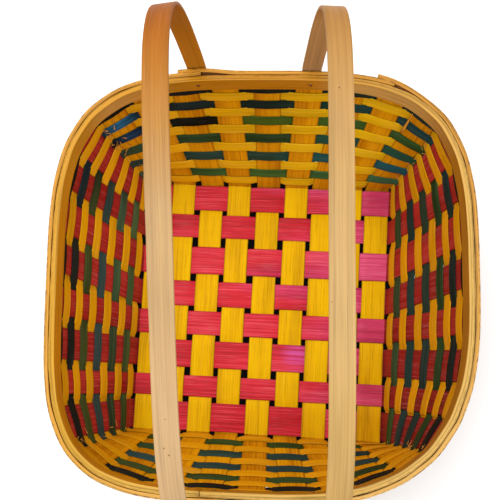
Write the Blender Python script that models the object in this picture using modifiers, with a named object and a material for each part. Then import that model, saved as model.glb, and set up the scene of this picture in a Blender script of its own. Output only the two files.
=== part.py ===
"""Square bamboo splint basket: plain-woven floor and walls, two rim hoops and two strap handles.

Lengthwise splints run along Y and crosswise splints along X. Both weave the floor, fold up at its
edges and stand as the wall stakes. Thin weavers go round the stakes in and out, row by row. An inner
and an outer hoop clasp the stake tops, and nails hold the handle straps to the outside of the rim.
"""
import math

import bmesh
import bpy
import numpy as np
from mathutils import Matrix, Vector

MM = 0.001

# Clearances between pieces
CLEARANCE = 0.3 * MM
NAIL_HOLE_CLEARANCE = 0.2 * MM
CUT_OVERRUN = 1.0 * MM

# Splints of the floor and walls
LENGTHWISE_COUNT = 9
CROSSWISE_COUNT = 8
LENGTHWISE_WIDTH = 18.6 * MM
CROSSWISE_WIDTH = 20.3 * MM
SPLINT_THICKNESS = 0.8 * MM
COLUMN_PITCH = 23.0 * MM
ROW_PITCH = 25.4 * MM
TURN_LEAD = 0.3 * MM
# The hand-woven spacing is uneven: the outer columns are packed closer, and the rows vary
COLUMN_PITCH_SHARES = (0.86, 1.01, 0.97, 1.03, 0.99, 0.95, 0.94, 0.92)
ROW_PITCH_SHARES = (0.925, 1.115, 1.075, 0.935, 0.99, 1.01, 0.945)
ROW_WIDTH_SHARES = (1.01, 0.93, 1.1, 1, 0.945, 1.065, 0.825, 1.11)
# The floor lies a little off the middle of the rim
FLOOR_SHIFT_X = -1.7 * MM
FLOOR_SHIFT_Y = -4.3 * MM

# Fold from the floor into the walls: its reach beyond the floor strips, and its turning points
FOLD_REACH = 2.2 * MM
FOLD_SHARES = ((0.5, 0.14), (0.86, 0.5))

# Weavers
WEAVER_ROWS = 12
WEAVER_START = 4.4 * MM
WEAVER_HEIGHT = 6.5 * MM
WEAVER_GAP = 0.5 * MM
WEAVER_THICKNESS = 0.7 * MM
WEAVER_CLEARANCE = 0.65 * MM
WEAVER_LEAD = 0.6 * MM
WEAVER_LAP_SHARE = 0.8

# Rim, a rounded square (superellipse) bent by hand: its corners differ, and it is a little slanted
RIM_WIDTH = 280 * MM
RIM_DEPTH = 283 * MM
RIM_HEIGHT = 9.7 * MM
BACK_CORNER_SHARES = (3.5, 3.6)
FRONT_CORNER_SHARES = (4.1, 2.8)
RIM_SLANT_SHARES = (-0.041, 0.022)

# Stakes along the rim: wider apart near the middle of a side, and slipped clockwise by hand, given
# as (place counted in stakes, slip in stakes)
MIDDLE_SPREAD_SHARE = 0.05
STAKE_SLIP_SHARES = (
    (0, 0.14), (8.5, 0.14), (11, 0.13), (12, 0.18), (14, 0.32), (15, 0.22), (16.3, 0.03), (17, 0.02),
    (21, -0.06), (25, -0.02), (26, 0.12), (27, 0.14), (28, 0.06), (30, 0.09), (34, 0.14),
)
STAKE_TOP_DROP = 0.6 * MM

# How far the wall has leaned out at each height, and how much more the front wall swells
WALL_PROFILE_SHARES = (
    (0, 0), (0.03, 0.04), (0.17, 0.205), (0.32, 0.42), (0.47, 0.614),
    (0.61, 0.763), (0.76, 0.877), (0.9, 0.961), (1, 1),
)
FRONT_SWELL_SHARE = 0.08
SWELL_POWER_SHARE = 1.3

# Rim hoops
INNER_HOOP_THICKNESS = 3.6 * MM
OUTER_HOOP_THICKNESS = 2.4 * MM
HOOP_ROUNDING = 0.7 * MM
HOOP_JOINT_GAP = 0.5 * MM
LAP_RAMP = 10 * MM
LAP_MARGIN = 3 * MM
# Ends of the hoops and the back strip, in stakes to the right of the back or front middle
INNER_JOINT_SHARE = -1.07
STRIP_LEFT_SHARE = -2.05
HOOP_LEFT_SHARE = -1.52
HOOP_RIGHT_SHARE = 2.52
STRIP_RIGHT_SHARE = 2.94

# Handles: feet (back, front) in stakes to the right of the back and front middles, and the arch
LEFT_FEET_SHARES = (-1.61, -0.8)
RIGHT_FEET_SHARES = (1.02, 1.36)
STRAP_WIDTH = 12.9 * MM
STRAP_THICKNESS = 2.0 * MM
STRAP_ROUNDING = 0.45 * MM
HANDLE_RISE = 94 * MM
HANDLE_BULGE = 4.5 * MM
LEFT_LEAN = 8.4 * MM
RIGHT_LEAN = 10.5 * MM
HANDLE_SQUARENESS = 4.7
HANDLE_STEPS = 9
TWIST_SHARE = 0.5

# Nails: how far to the right of the middle of their foot (back, front)
LEFT_NAIL_SHIFTS = (0.4 * MM, 1.5 * MM)
RIGHT_NAIL_SHIFTS = (-0.4 * MM, 1.5 * MM)
NAIL_RADIUS = 0.6 * MM
NAIL_HEAD_RADIUS = 1.4 * MM
NAIL_HEAD_HEIGHT = 0.5 * MM
NAIL_HEAD_GAP = 0.1 * MM
NAIL_END_COVER = 0.6 * MM
NAIL_SIDES = 10

# Worked out from the sizes above
WEAVE_OFFSET = (SPLINT_THICKNESS + CLEARANCE) / 2
FLOOR_LEVEL = WEAVE_OFFSET + SPLINT_THICKNESS / 2
STATIONS = 2 * (LENGTHWISE_COUNT + CROSSWISE_COUNT)
WEAVER_PITCH = WEAVER_HEIGHT + WEAVER_GAP
FOLD_HEIGHT = WEAVER_START - WEAVER_GAP / 2
RIM_BOTTOM = WEAVER_START + WEAVER_ROWS * WEAVER_PITCH
RIM_TOP = RIM_BOTTOM + RIM_HEIGHT
STAKE_FACE = SPLINT_THICKNESS / 2 + CLEARANCE
INNER_HOOP_OFFSET = -(STAKE_FACE + INNER_HOOP_THICKNESS / 2)
OUTER_HOOP_OFFSET = STAKE_FACE + OUTER_HOOP_THICKNESS / 2
LAP_STEP = OUTER_HOOP_THICKNESS + CLEARANCE
WEAVER_OFFSET = SPLINT_THICKNESS / 2 + WEAVER_CLEARANCE + WEAVER_THICKNESS / 2
# Share of the distance between two stakes at the rim that a stake spans to each side
STAKE_HALF_SHARE = 1 / 3
# Weaver rows between the turning points of a stake, by its distance from the nearest corner in
# stakes: the stakes twist most beside a corner
TURN_STEPS = ((1, 1), (2, 2), (LENGTHWISE_COUNT, 3))

COLOURS = {
    "splint_yellow": ((0.74, 0.44, 0.01), 0.42),
    "splint_red": ((0.62, 0.035, 0.055), 0.36),
    "weaver_yellow": ((0.66, 0.36, 0.015), 0.42),
    "weaver_green": ((0.055, 0.13, 0.03), 0.42),
    "weaver_teal": ((0.03, 0.075, 0.062), 0.42),
    "weaver_olive": ((0.05, 0.075, 0.02), 0.42),
    "weaver_dark": ((0.012, 0.02, 0.02), 0.42),
    "rim_bamboo": ((0.6, 0.33, 0.07), 0.4),
    "handle_bamboo": ((0.64, 0.42, 0.2), 0.45),
    "nail_steel": ((0.42, 0.36, 0.3), 0.38),
}
DYED_ROWS = {2: "weaver_green", 4: "weaver_teal", 6: "weaver_green", 8: "weaver_olive"}


def strip_centres(pitch, shares):
    """Centres of strips one uneven pitch apart, set evenly about zero."""
    places = [0]
    for share in shares:
        places.append(places[-1] + pitch * share)
    middle = (places[0] + places[-1]) / 2
    return [place - middle for place in places]


COLUMN_X = [FLOOR_SHIFT_X + place for place in strip_centres(COLUMN_PITCH, COLUMN_PITCH_SHARES)]
ROW_Y = [FLOOR_SHIFT_Y - place for place in strip_centres(ROW_PITCH, ROW_PITCH_SHARES)]
ROW_WIDTHS = [CROSSWISE_WIDTH * share for share in ROW_WIDTH_SHARES]
FLOOR_LEFT_X = COLUMN_X[0] - LENGTHWISE_WIDTH / 2
FLOOR_RIGHT_X = COLUMN_X[-1] + LENGTHWISE_WIDTH / 2
FLOOR_BACK_Y = ROW_Y[0] + ROW_WIDTHS[0] / 2
FLOOR_FRONT_Y = ROW_Y[-1] - ROW_WIDTHS[-1] / 2


def make_materials():
    """One Principled material for each colour of splint, strap and nail."""
    made = {}
    for name, (colour, roughness) in COLOURS.items():
        material = bpy.data.materials.new(name)
        material.use_nodes = True
        shader = material.node_tree.nodes["Principled BSDF"]
        shader.inputs["Base Color"].default_value = (*colour, 1)
        shader.inputs["Roughness"].default_value = roughness
        shader.inputs["Metallic"].default_value = 1 if name == "nail_steel" else 0
        material.diffuse_color = (*colour, 1)
        made[name] = material
    return made


def rim_outline(half_width, half_depth):
    """Clockwise points of the rounded square from the back middle, and the length run to each."""
    turns = np.linspace(0, 2 * math.pi, 1441)
    across, along = np.sin(turns), np.cos(turns)
    back = np.where(across < 0, *BACK_CORNER_SHARES)
    front = np.where(across < 0, *FRONT_CORNER_SHARES)
    power = np.where(along < 0, front, back)
    radius = (np.abs(across / half_width) ** power + np.abs(along / half_depth) ** power) ** (-1 / power)
    x, y = radius * across, radius * along
    points = np.stack([x + RIM_SLANT_SHARES[0] * y, y + RIM_SLANT_SHARES[1] * x], 1)
    runs = np.concatenate([[0], np.cumsum(np.linalg.norm(np.diff(points, axis=0), axis=1))])
    return points, runs


STAKE_LINE_INSET = OUTER_HOOP_THICKNESS + STAKE_FACE
RIM_POINTS, RIM_RUNS = rim_outline(RIM_WIDTH / 2 - STAKE_LINE_INSET, RIM_DEPTH / 2 - STAKE_LINE_INSET)
RIM_PITCH = RIM_RUNS[-1] / STATIONS
BACK_MIDDLE = (LENGTHWISE_COUNT - 1) / 2
FRONT_MIDDLE = BACK_MIDDLE + STATIONS / 2
QUARTER = STATIONS / 4


def side_run(stakes):
    """Run along the rim from the middle of a side, by the number of stakes: wider near the middle."""
    return RIM_PITCH * stakes * (1 + MIDDLE_SPREAD_SHARE * (1 - (2 * stakes / QUARTER) ** 2))


def rim_place(place):
    """Point of the stake line at the rim, by its place counted in stakes from the back left."""
    quarters = round((place - BACK_MIDDLE) / QUARTER)
    stakes = place - BACK_MIDDLE - quarters * QUARTER
    slip = np.interp(place % STATIONS, *np.transpose(STAKE_SLIP_SHARES))
    run = ((quarters * QUARTER + slip) * RIM_PITCH + side_run(stakes)) % RIM_RUNS[-1]
    x, y = (np.interp(run, RIM_RUNS, RIM_POINTS[:, axis]) for axis in range(2))
    return Vector((x, y, 0))


def corner_distance(station):
    """How many stakes away the nearest corner of the basket is."""
    sides = (LENGTHWISE_COUNT, CROSSWISE_COUNT, LENGTHWISE_COUNT, CROSSWISE_COUNT)
    corners = [sum(sides[:number]) - 0.5 for number in range(len(sides) + 1)]
    return min(abs(station - corner) for corner in corners)


def wall_heights(station):
    """Heights at which a stake turns: the fold, some of the bounds of weaver rows, and its top."""
    step = next(step for reach, step in TURN_STEPS if corner_distance(station) < reach)
    rows = [*range(0, WEAVER_ROWS, step), WEAVER_ROWS]
    return [*(FOLD_HEIGHT + row * WEAVER_PITCH for row in rows), RIM_TOP - STAKE_TOP_DROP]


def lean_share(station, height):
    """How far a stake has leaned from the floor's edge to the rim, at a height."""
    table = np.array(WALL_PROFILE_SHARES)
    risen = min(max((height - FOLD_HEIGHT) / (RIM_TOP - FOLD_HEIGHT), 0), 1)
    frontness = max(-math.cos(2 * math.pi * (station - BACK_MIDDLE) / STATIONS), 0)
    swell = FRONT_SWELL_SHARE * frontness * math.sin(math.pi * risen ** SWELL_POWER_SHARE)
    return float(np.interp(risen, table[:, 0], table[:, 1])) + swell


def station_feet():
    """Foot point, clockwise direction and width of every stake, clockwise from the back left."""
    feet = []
    for x in COLUMN_X:
        feet.append((Vector((x, FLOOR_BACK_Y + FOLD_REACH, 0)), Vector((1, 0, 0)), LENGTHWISE_WIDTH))
    for y, width in zip(ROW_Y, ROW_WIDTHS):
        feet.append((Vector((FLOOR_RIGHT_X + FOLD_REACH, y, 0)), Vector((0, -1, 0)), width))
    for x in reversed(COLUMN_X):
        feet.append((Vector((x, FLOOR_FRONT_Y - FOLD_REACH, 0)), Vector((-1, 0, 0)), LENGTHWISE_WIDTH))
    for y, width in zip(reversed(ROW_Y), reversed(ROW_WIDTHS)):
        feet.append((Vector((FLOOR_LEFT_X - FOLD_REACH, y, 0)), Vector((0, 1, 0)), width))
    return feet


def stake_edges(station, foot, direction, width):
    """The two edges of one wall stake at each of its turning heights."""
    top = rim_place(station)
    span = rim_place(station + STAKE_HALF_SHARE) - rim_place(station - STAKE_HALF_SHARE)
    top_direction = span.normalized()
    edges = []
    for height in HEIGHTS[station]:
        share = lean_share(station, height)
        centre = foot.lerp(top, share) + Vector((0, 0, height))
        across = direction.lerp(top_direction, share).normalized() * width / 2
        edges.append((centre - across, centre + across))
    return edges


HEIGHTS = [wall_heights(station) for station in range(STATIONS)]
STAKES = [stake_edges(number, *foot) for number, foot in enumerate(station_feet())]


def on_stake(station, side, height, offset):
    """Point of a stake at a height: side runs from -1 to 1 across it, offset is outwards."""
    edges = STAKES[station % STATIONS]
    heights = HEIGHTS[station % STATIONS]
    level = min(max(int(np.searchsorted(heights, height)) - 1, 0), len(heights) - 2)
    share = (height - heights[level]) / (heights[level + 1] - heights[level])
    before = edges[level][0].lerp(edges[level + 1][0], share)
    after = edges[level][1].lerp(edges[level + 1][1], share)
    up = (edges[level + 1][0] + edges[level + 1][1] - edges[level][0] - edges[level][1]) / 2
    outward = up.cross(after - before).normalized()
    return before.lerp(after, (side + 1) / 2) + outward * offset


def on_ring(place, height, offset):
    """Point of the wall at a place counted in stakes, which may lie between two of them."""
    station = math.floor(place + 0.5)
    past = place - station
    if abs(past) <= STAKE_HALF_SHARE:
        return on_stake(station, past / STAKE_HALF_SHARE, height, offset)
    if past < 0:
        station -= 1
        past += 1
    share = (past - STAKE_HALF_SHARE) / (1 - 2 * STAKE_HALF_SHARE)
    return on_stake(station, 1, height, offset).lerp(on_stake(station + 1, -1, height, offset), share)


def back_place(stakes, shift=0):
    """Place on the ring so many stakes and a short shift to the right of the back middle."""
    return BACK_MIDDLE + stakes + shift / RIM_PITCH


def front_place(stakes, shift=0):
    """Place on the ring so many stakes and a short shift to the right of the front middle."""
    return FRONT_MIDDLE - stakes - shift / RIM_PITCH


def ring_places(first, last, extra=()):
    """Places at which a hoop turns between its two ends."""
    turns = [
        station + side * STAKE_HALF_SHARE
        for station in range(math.floor(first), math.ceil(last) + 1)
        for side in (-1, 1)
    ]
    inside = {place for place in [*turns, *extra] if first < place < last}
    return [first, *sorted(inside), last]


def add_object(name, mesh, material, collection):
    """Object with its mesh and material in the basket's collection."""
    made = bpy.data.objects.new(name, mesh)
    mesh.materials.append(material)
    collection.objects.link(made)
    return made


def add_ribbon(name, lower, upper, thickness, material, collection):
    """Open strip between two rows of edge points, thickened evenly to both sides."""
    form = bmesh.new()
    below = [form.verts.new(point) for point in lower]
    above = [form.verts.new(point) for point in upper]
    for number in range(len(below) - 1):
        form.faces.new((below[number], below[number + 1], above[number + 1], above[number]))
    form.normal_update()
    mesh = bpy.data.meshes.new(name)
    form.to_mesh(mesh)
    form.free()
    made = add_object(name, mesh, material, collection)
    shell = made.modifiers.new("thickness", "SOLIDIFY")
    shell.thickness = thickness
    shell.offset = 0
    shell.use_even_offset = True
    return made


def flatten_top_edges(made, thickness, width):
    """Narrow slopes along the two top edges of a hoop, cut on its finished mesh."""
    bpy.context.view_layer.update()
    depsgraph = bpy.context.evaluated_depsgraph_get()
    mesh = bpy.data.meshes.new_from_object(made.evaluated_get(depsgraph))
    made.modifiers.clear()
    made.data = mesh
    form = bmesh.new()
    form.from_mesh(mesh)
    edges = []
    for edge in form.edges:
        slopes = [face.normal.z for face in edge.link_faces]
        has_top = max(slopes) > math.cos(math.radians(45))
        has_side = min(abs(slope) for slope in slopes) < math.cos(math.radians(60))
        across = edge.calc_length() < thickness + CLEARANCE
        if has_top and has_side and not across:
            edges.append(edge)
    bmesh.ops.bevel(form, geom=edges, offset=width, segments=1, affect="EDGES")
    form.to_mesh(mesh)
    form.free()
    for face in mesh.polygons:
        face.use_smooth = True


def round_edges(made, width):
    """Small flat on the long edges, with the broad faces shaded smooth."""
    for face in made.data.polygons:
        face.use_smooth = True
    bevel = made.modifiers.new("rounding", "BEVEL")
    bevel.width = width
    bevel.segments = 1
    bevel.limit_method = "ANGLE"
    bevel.angle_limit = math.radians(50)
    bevel.harden_normals = True


def floor_line(crossings, over_first):
    """Distance and height of a floor splint along its crossings, each a (centre, width) pair."""
    line = []
    over = over_first
    for centre, width in crossings:
        level = FLOOR_LEVEL + (WEAVE_OFFSET if over else -WEAVE_OFFSET)
        reach = width / 2 + TURN_LEAD
        line += [(centre - reach, level), (centre + reach, level)]
        over = not over
    return line


def fold_line(edge, level, outward):
    """Turning points of the fold from the floor's edge up to the wall's start."""
    return [
        (edge + outward * FOLD_REACH * reach, level + (FOLD_HEIGHT - level) * rise)
        for reach, rise in FOLD_SHARES
    ]


def add_splint(name, crossings, over_first, lengthwise, width, first, last, material, collection):
    """One splint: up the first wall, over and under across the floor, and up the last wall."""
    line = floor_line(crossings, over_first)
    centre = sum((sum(first[0], Vector()), sum(last[0], Vector())), Vector()) / 4
    start = crossings[0][0] - crossings[0][1] / 2
    end = crossings[-1][0] + crossings[-1][1] / 2
    line = fold_line(start, line[0][1], -1)[::-1] + line + fold_line(end, line[-1][1], 1)
    if lengthwise:
        across = Vector((width / 2, 0, 0))
        middle = [Vector((centre.x, place, height)) for place, height in line]
    else:
        across = Vector((0, width / 2, 0))
        middle = [Vector((place, centre.y, height)) for place, height in line]
    lower = [edges[0] for edges in reversed(first)]
    upper = [edges[1] for edges in reversed(first)]
    lower += [point - across for point in middle]
    upper += [point + across for point in middle]
    lower += [edges[0] for edges in last]
    upper += [edges[1] for edges in last]
    return add_ribbon(name, lower, upper, SPLINT_THICKNESS, material, collection)


def flipped(edges):
    """Stake edges with their two sides swapped."""
    return [(after, before) for before, after in edges]


def add_splints(materials, collection):
    """All floor splints, from left to right and then from back to front."""
    made = {}
    rows = list(reversed(list(zip(ROW_Y, ROW_WIDTHS))))
    for column in range(LENGTHWISE_COUNT):
        over_first = (column + CROSSWISE_COUNT) % 2 == 0
        front = flipped(STAKES[2 * LENGTHWISE_COUNT + CROSSWISE_COUNT - 1 - column])
        name = f"lengthwise_splint_{column + 1}"
        made[name] = add_splint(
            name, rows, over_first, True, LENGTHWISE_WIDTH, front, STAKES[column],
            materials["splint_yellow"], collection)
    columns = [(x, LENGTHWISE_WIDTH) for x in COLUMN_X]
    for row in range(CROSSWISE_COUNT):
        name = f"crosswise_splint_{row + 1}"
        made[name] = add_splint(
            name, columns, row % 2 == 0, False, ROW_WIDTHS[row], STAKES[STATIONS - 1 - row],
            flipped(STAKES[LENGTHWISE_COUNT + row]), materials["splint_red"], collection)
    return made


def lap_station(row):
    """Stake behind which a weaver's ends lap, on each wall in turn."""
    middle = int(BACK_MIDDLE + (row % 4) * STATIONS / 4)
    return middle + 1 if (middle + row) % 2 == 0 else middle


def add_weaver(row, materials, collection):
    """One strip woven in and out round all the stakes, with its ends lapped outside one of them."""
    low = WEAVER_START + (row - 1) * WEAVER_PITCH
    first = lap_station(row)
    lower, upper = [], []

    def add_point(station, side, offset):
        lower.append(on_stake(station, side, low, offset))
        upper.append(on_stake(station, side, low + WEAVER_HEIGHT, offset))

    add_point(first, -WEAVER_LAP_SHARE, WEAVER_OFFSET)
    for station in range(first, first + STATIONS + 1):
        half_width = station_width(station) / 2
        turn = (half_width + WEAVER_LEAD) / half_width
        offset = WEAVER_OFFSET if (station - first) % 2 == 0 else -WEAVER_OFFSET
        if station == first + STATIONS:
            offset += WEAVER_THICKNESS + CLEARANCE
        if station > first:
            add_point(station, -turn, offset)
        if station < first + STATIONS:
            add_point(station, turn, offset)
        else:
            add_point(station, WEAVER_LAP_SHARE, offset)
    colour = "weaver_yellow" if row % 2 else DYED_ROWS.get(row, "weaver_dark")
    return add_ribbon(f"weaver_{row:02d}", lower, upper, WEAVER_THICKNESS, materials[colour], collection)


def station_width(station):
    """Width of the stake at a station."""
    edges = STAKES[station % STATIONS][0]
    return (edges[1] - edges[0]).length


def add_hoop(name, places, offsets, thickness, material, collection):
    """Rim hoop along the wall, with one offset for each place."""
    lower = [on_ring(place, RIM_BOTTOM, offset) for place, offset in zip(places, offsets)]
    upper = [on_ring(place, RIM_TOP, offset) for place, offset in zip(places, offsets)]
    made = add_ribbon(name, lower, upper, thickness, material, collection)
    flatten_top_edges(made, thickness, HOOP_ROUNDING)
    return made


def add_rim(materials, collection):
    """Inner hoop with a butt joint, and outer hoop whose ends lap with a short strip at the back."""
    wood = materials["rim_bamboo"]
    joint = front_place(INNER_JOINT_SHARE)
    half_gap = HOOP_JOINT_GAP / 2 / RIM_PITCH
    places = ring_places(joint + half_gap, joint - half_gap + STATIONS)
    inner = add_hoop(
        "inner_rim_hoop", places, [INNER_HOOP_OFFSET] * len(places), INNER_HOOP_THICKNESS, wood, collection)

    ramp = LAP_RAMP / RIM_PITCH
    margin = LAP_MARGIN / RIM_PITCH
    above = OUTER_HOOP_OFFSET + LAP_STEP

    def lapped(name, first, last, lap_end):
        places = ring_places(first, last, (lap_end, lap_end + ramp))
        offsets = np.interp(places, [lap_end, lap_end + ramp], [above, OUTER_HOOP_OFFSET])
        return add_hoop(name, places, list(offsets), OUTER_HOOP_THICKNESS, wood, collection)

    strip_start = back_place(STRIP_LEFT_SHARE)
    strip_end = back_place(STRIP_RIGHT_SHARE)
    hoop_start = back_place(HOOP_RIGHT_SHARE)
    hoop_end = back_place(HOOP_LEFT_SHARE) + STATIONS
    foot_end = back_place(LEFT_FEET_SHARES[0], STRAP_WIDTH / 2)
    strip = lapped("outer_rim_back_strip", strip_start, strip_end, foot_end + margin)
    outer = lapped("outer_rim_hoop", hoop_start, hoop_end, strip_end + margin)
    return {"inner_rim_hoop": inner, "outer_rim_back_strip": strip, "outer_rim_hoop": outer}


def foot_points(place, face):
    """Centre points and width direction of a strap foot against the rim's outer face."""
    offset = face + CLEARANCE + STRAP_THICKNESS / 2
    points = [on_ring(place, height, offset) for height in (RIM_BOTTOM, RIM_TOP)]
    reach = STRAP_WIDTH / 2 / RIM_PITCH
    across = on_ring(place + reach, RIM_TOP, 0) - on_ring(place - reach, RIM_TOP, 0)
    across.z = 0
    return points, across.normalized() * math.copysign(1, across.x)


def arch_half(foot, across, other, lean, lean_across):
    """Arch from one foot up to the top middle, as (centre, width direction) pairs."""
    half = []
    for step in range(1, HANDLE_STEPS + 1):
        turn = step / HANDLE_STEPS * math.pi / 2
        radius = (math.cos(turn) ** HANDLE_SQUARENESS + math.sin(turn) ** HANDLE_SQUARENESS) ** (
            -1 / HANDLE_SQUARENESS)
        reach, rise = radius * math.cos(turn), radius * math.sin(turn)
        side = math.copysign(1, foot.y)
        y = (foot.y + side * HANDLE_BULGE) * reach - side * HANDLE_BULGE * (1 - rise) ** 3
        x = foot.x + (other.x - foot.x) * (foot.y - y) / (foot.y - other.y) + lean * rise
        centre = Vector((x, y, foot.z + HANDLE_RISE * rise))
        half.append((centre, across.lerp(lean_across, min(rise / TWIST_SHARE, 1)).normalized()))
    return half


def add_handle(name, feet, lean, back_face, materials, collection):
    """Strap handle: feet flat on the rim, legs nearly upright, and a long flat-topped arch."""
    back, back_across = foot_points(back_place(feet[0]), back_face)
    front, front_across = foot_points(front_place(feet[1]), OUTER_HOOP_OFFSET + OUTER_HOOP_THICKNESS / 2)
    plane = (front[1] - back[1]).cross(Vector((lean, 0, HANDLE_RISE))).normalized()
    plane *= math.copysign(1, plane.x)
    back_half = arch_half(back[1], back_across, front[1], lean, plane)
    front_half = arch_half(front[1], front_across, back[1], lean, plane)
    line = [(point, back_across) for point in back] + back_half
    line += front_half[-2::-1] + [(point, front_across) for point in reversed(front)]
    lower = [centre - across * STRAP_WIDTH / 2 for centre, across in line]
    upper = [centre + across * STRAP_WIDTH / 2 for centre, across in line]
    made = add_ribbon(name, lower, upper, STRAP_THICKNESS, materials["handle_bamboo"], collection)
    round_edges(made, STRAP_ROUNDING)
    return made


def turned_form(profile, frame):
    """Solid of revolution about Z from (radius, height) points, placed by a frame."""
    form = bmesh.new()
    points = [form.verts.new((radius, 0, height)) for radius, height in profile]
    edges = [form.edges.new(pair) for pair in zip(points, points[1:])]
    bmesh.ops.spin(
        form, geom=[*points, *edges], cent=(0, 0, 0), axis=(0, 0, 1), angle=2 * math.pi,
        steps=NAIL_SIDES, use_merge=True)
    bmesh.ops.remove_doubles(form, verts=form.verts[:], dist=NAIL_HOLE_CLEARANCE / 10)
    bmesh.ops.recalc_face_normals(form, faces=form.faces[:])
    form.transform(frame)
    return form


def nail_frame(place):
    """Frame at mid rim height on the stake's middle, with Z pointing out of the basket."""
    height = (RIM_BOTTOM + RIM_TOP) / 2
    origin = on_ring(place, height, 0)
    outward = (on_ring(place, height, OUTER_HOOP_THICKNESS) - origin).normalized()
    return Matrix.Translation(origin) @ outward.to_track_quat("Z", "Y").to_matrix().to_4x4()


def add_nail(name, place, outer_face, pierced, materials, collection, cutters):
    """Round-headed nail from the inside of the rim into a strap foot, and its holes."""
    frame = nail_frame(place)
    face = INNER_HOOP_OFFSET - INNER_HOOP_THICKNESS / 2
    seat = face - NAIL_HEAD_GAP
    tip = outer_face + CLEARANCE + STRAP_THICKNESS - NAIL_END_COVER
    form = turned_form([
        (0, seat - NAIL_HEAD_HEIGHT), (NAIL_HEAD_RADIUS * 0.7, seat - NAIL_HEAD_HEIGHT),
        (NAIL_HEAD_RADIUS, seat), (NAIL_RADIUS, seat), (NAIL_RADIUS, tip - NAIL_RADIUS), (0, tip)], frame)
    mesh = bpy.data.meshes.new(name)
    form.to_mesh(mesh)
    form.free()
    made = add_object(name, mesh, materials["nail_steel"], collection)
    for polygon in mesh.polygons:
        polygon.use_smooth = True

    hole = NAIL_RADIUS + NAIL_HOLE_CLEARANCE
    end = tip + NAIL_HOLE_CLEARANCE
    form = turned_form([(0, face - CUT_OVERRUN), (hole, face - CUT_OVERRUN), (hole, end), (0, end)], frame)
    mesh = bpy.data.meshes.new(f"{name}_hole")
    form.to_mesh(mesh)
    form.free()
    cutter = bpy.data.objects.new(f"{name}_hole", mesh)
    cutter.hide_render = True
    cutter.display_type = "WIRE"
    cutters.objects.link(cutter)
    for piece in pierced:
        cut = piece.modifiers.new(name, "BOOLEAN")
        cut.operation = "DIFFERENCE"
        cut.solver = "EXACT"
        cut.object = cutter
    return made


def add_nails(splints, rim, handles, materials, collection, cutters):
    """One nail through the rim into each strap foot."""
    face = OUTER_HOOP_OFFSET + OUTER_HOOP_THICKNESS / 2
    inner, outer, strip = rim["inner_rim_hoop"], rim["outer_rim_hoop"], rim["outer_rim_back_strip"]
    places = {}
    for side, feet, shifts in (
        ("left", LEFT_FEET_SHARES, LEFT_NAIL_SHIFTS),
        ("right", RIGHT_FEET_SHARES, RIGHT_NAIL_SHIFTS),
    ):
        places[side, "back"] = back_place(feet[0], shifts[0])
        places[side, "front"] = front_place(feet[1], shifts[1])
    spots = (
        ("nail_left_back", places["left", "back"], face + LAP_STEP, [outer, strip, handles[0]]),
        ("nail_right_back", places["right", "back"], face, [strip, handles[1]]),
        ("nail_left_front", places["left", "front"], face, [outer, handles[0]]),
        ("nail_right_front", places["right", "front"], face, [outer, handles[1]]),
    )
    for name, place, outer_face, pierced in spots:
        station = math.floor(place + 0.5)
        spot = nail_frame(place).translation
        reach = (spot - on_stake(station, 0, spot.z, 0)).length
        if reach < station_width(station) / 2 + NAIL_RADIUS + NAIL_HOLE_CLEARANCE:
            back = station < LENGTHWISE_COUNT
            column = station if back else 2 * LENGTHWISE_COUNT + CROSSWISE_COUNT - 1 - station
            pierced = [splints[f"lengthwise_splint_{column + 1}"], *pierced]
        add_nail(name, place, outer_face, [inner, *pierced], materials, collection, cutters)


def centre_on_floor(collection, cutters):
    """Moves everything so that the middle of its outline stands over the origin."""
    bpy.context.view_layer.update()
    depsgraph = bpy.context.evaluated_depsgraph_get()
    corners = []
    for item in collection.objects:
        shape = item.evaluated_get(depsgraph)
        corners += [shape.matrix_world @ Vector(corner) for corner in shape.bound_box]
    low = Vector(min(corner[axis] for corner in corners) for axis in range(3))
    high = Vector(max(corner[axis] for corner in corners) for axis in range(3))
    shift = Vector((-(low.x + high.x) / 2, -(low.y + high.y) / 2, -low.z))
    for item in [*collection.objects, *cutters.objects]:
        item.location = shift
    print("shift to the origin in mm:", [round(value / MM, 4) for value in shift])


def build():
    """The whole basket."""
    for old in list(bpy.data.objects):
        bpy.data.objects.remove(old, do_unlink=True)
    collection = bpy.data.collections.new("bamboo_basket")
    cutters = bpy.data.collections.new("nail_holes")
    bpy.context.scene.collection.children.link(collection)
    bpy.context.scene.collection.children.link(cutters)
    materials = make_materials()
    splints = add_splints(materials, collection)
    for row in range(1, WEAVER_ROWS + 1):
        add_weaver(row, materials, collection)
    rim = add_rim(materials, collection)
    face = OUTER_HOOP_OFFSET + OUTER_HOOP_THICKNESS / 2
    handles = (
        add_handle("left_handle", LEFT_FEET_SHARES, -LEFT_LEAN, face + LAP_STEP, materials, collection),
        add_handle("right_handle", RIGHT_FEET_SHARES, RIGHT_LEAN, face, materials, collection),
    )
    add_nails(splints, rim, handles, materials, collection, cutters)
    centre_on_floor(collection, cutters)


build()
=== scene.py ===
"""Square bamboo splint basket, dressed for close viewing.

Every splint, weaver, hoop, strap and nail of the frame is shown by a finer form in the same place:
strips with rounded edges that bend smoothly over and under each other, in dyed and lacquered bamboo
whose fibres run along each strip.
"""

import math
import random

import bmesh
import bpy
import numpy as np
from mathutils import Matrix, Vector


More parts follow.
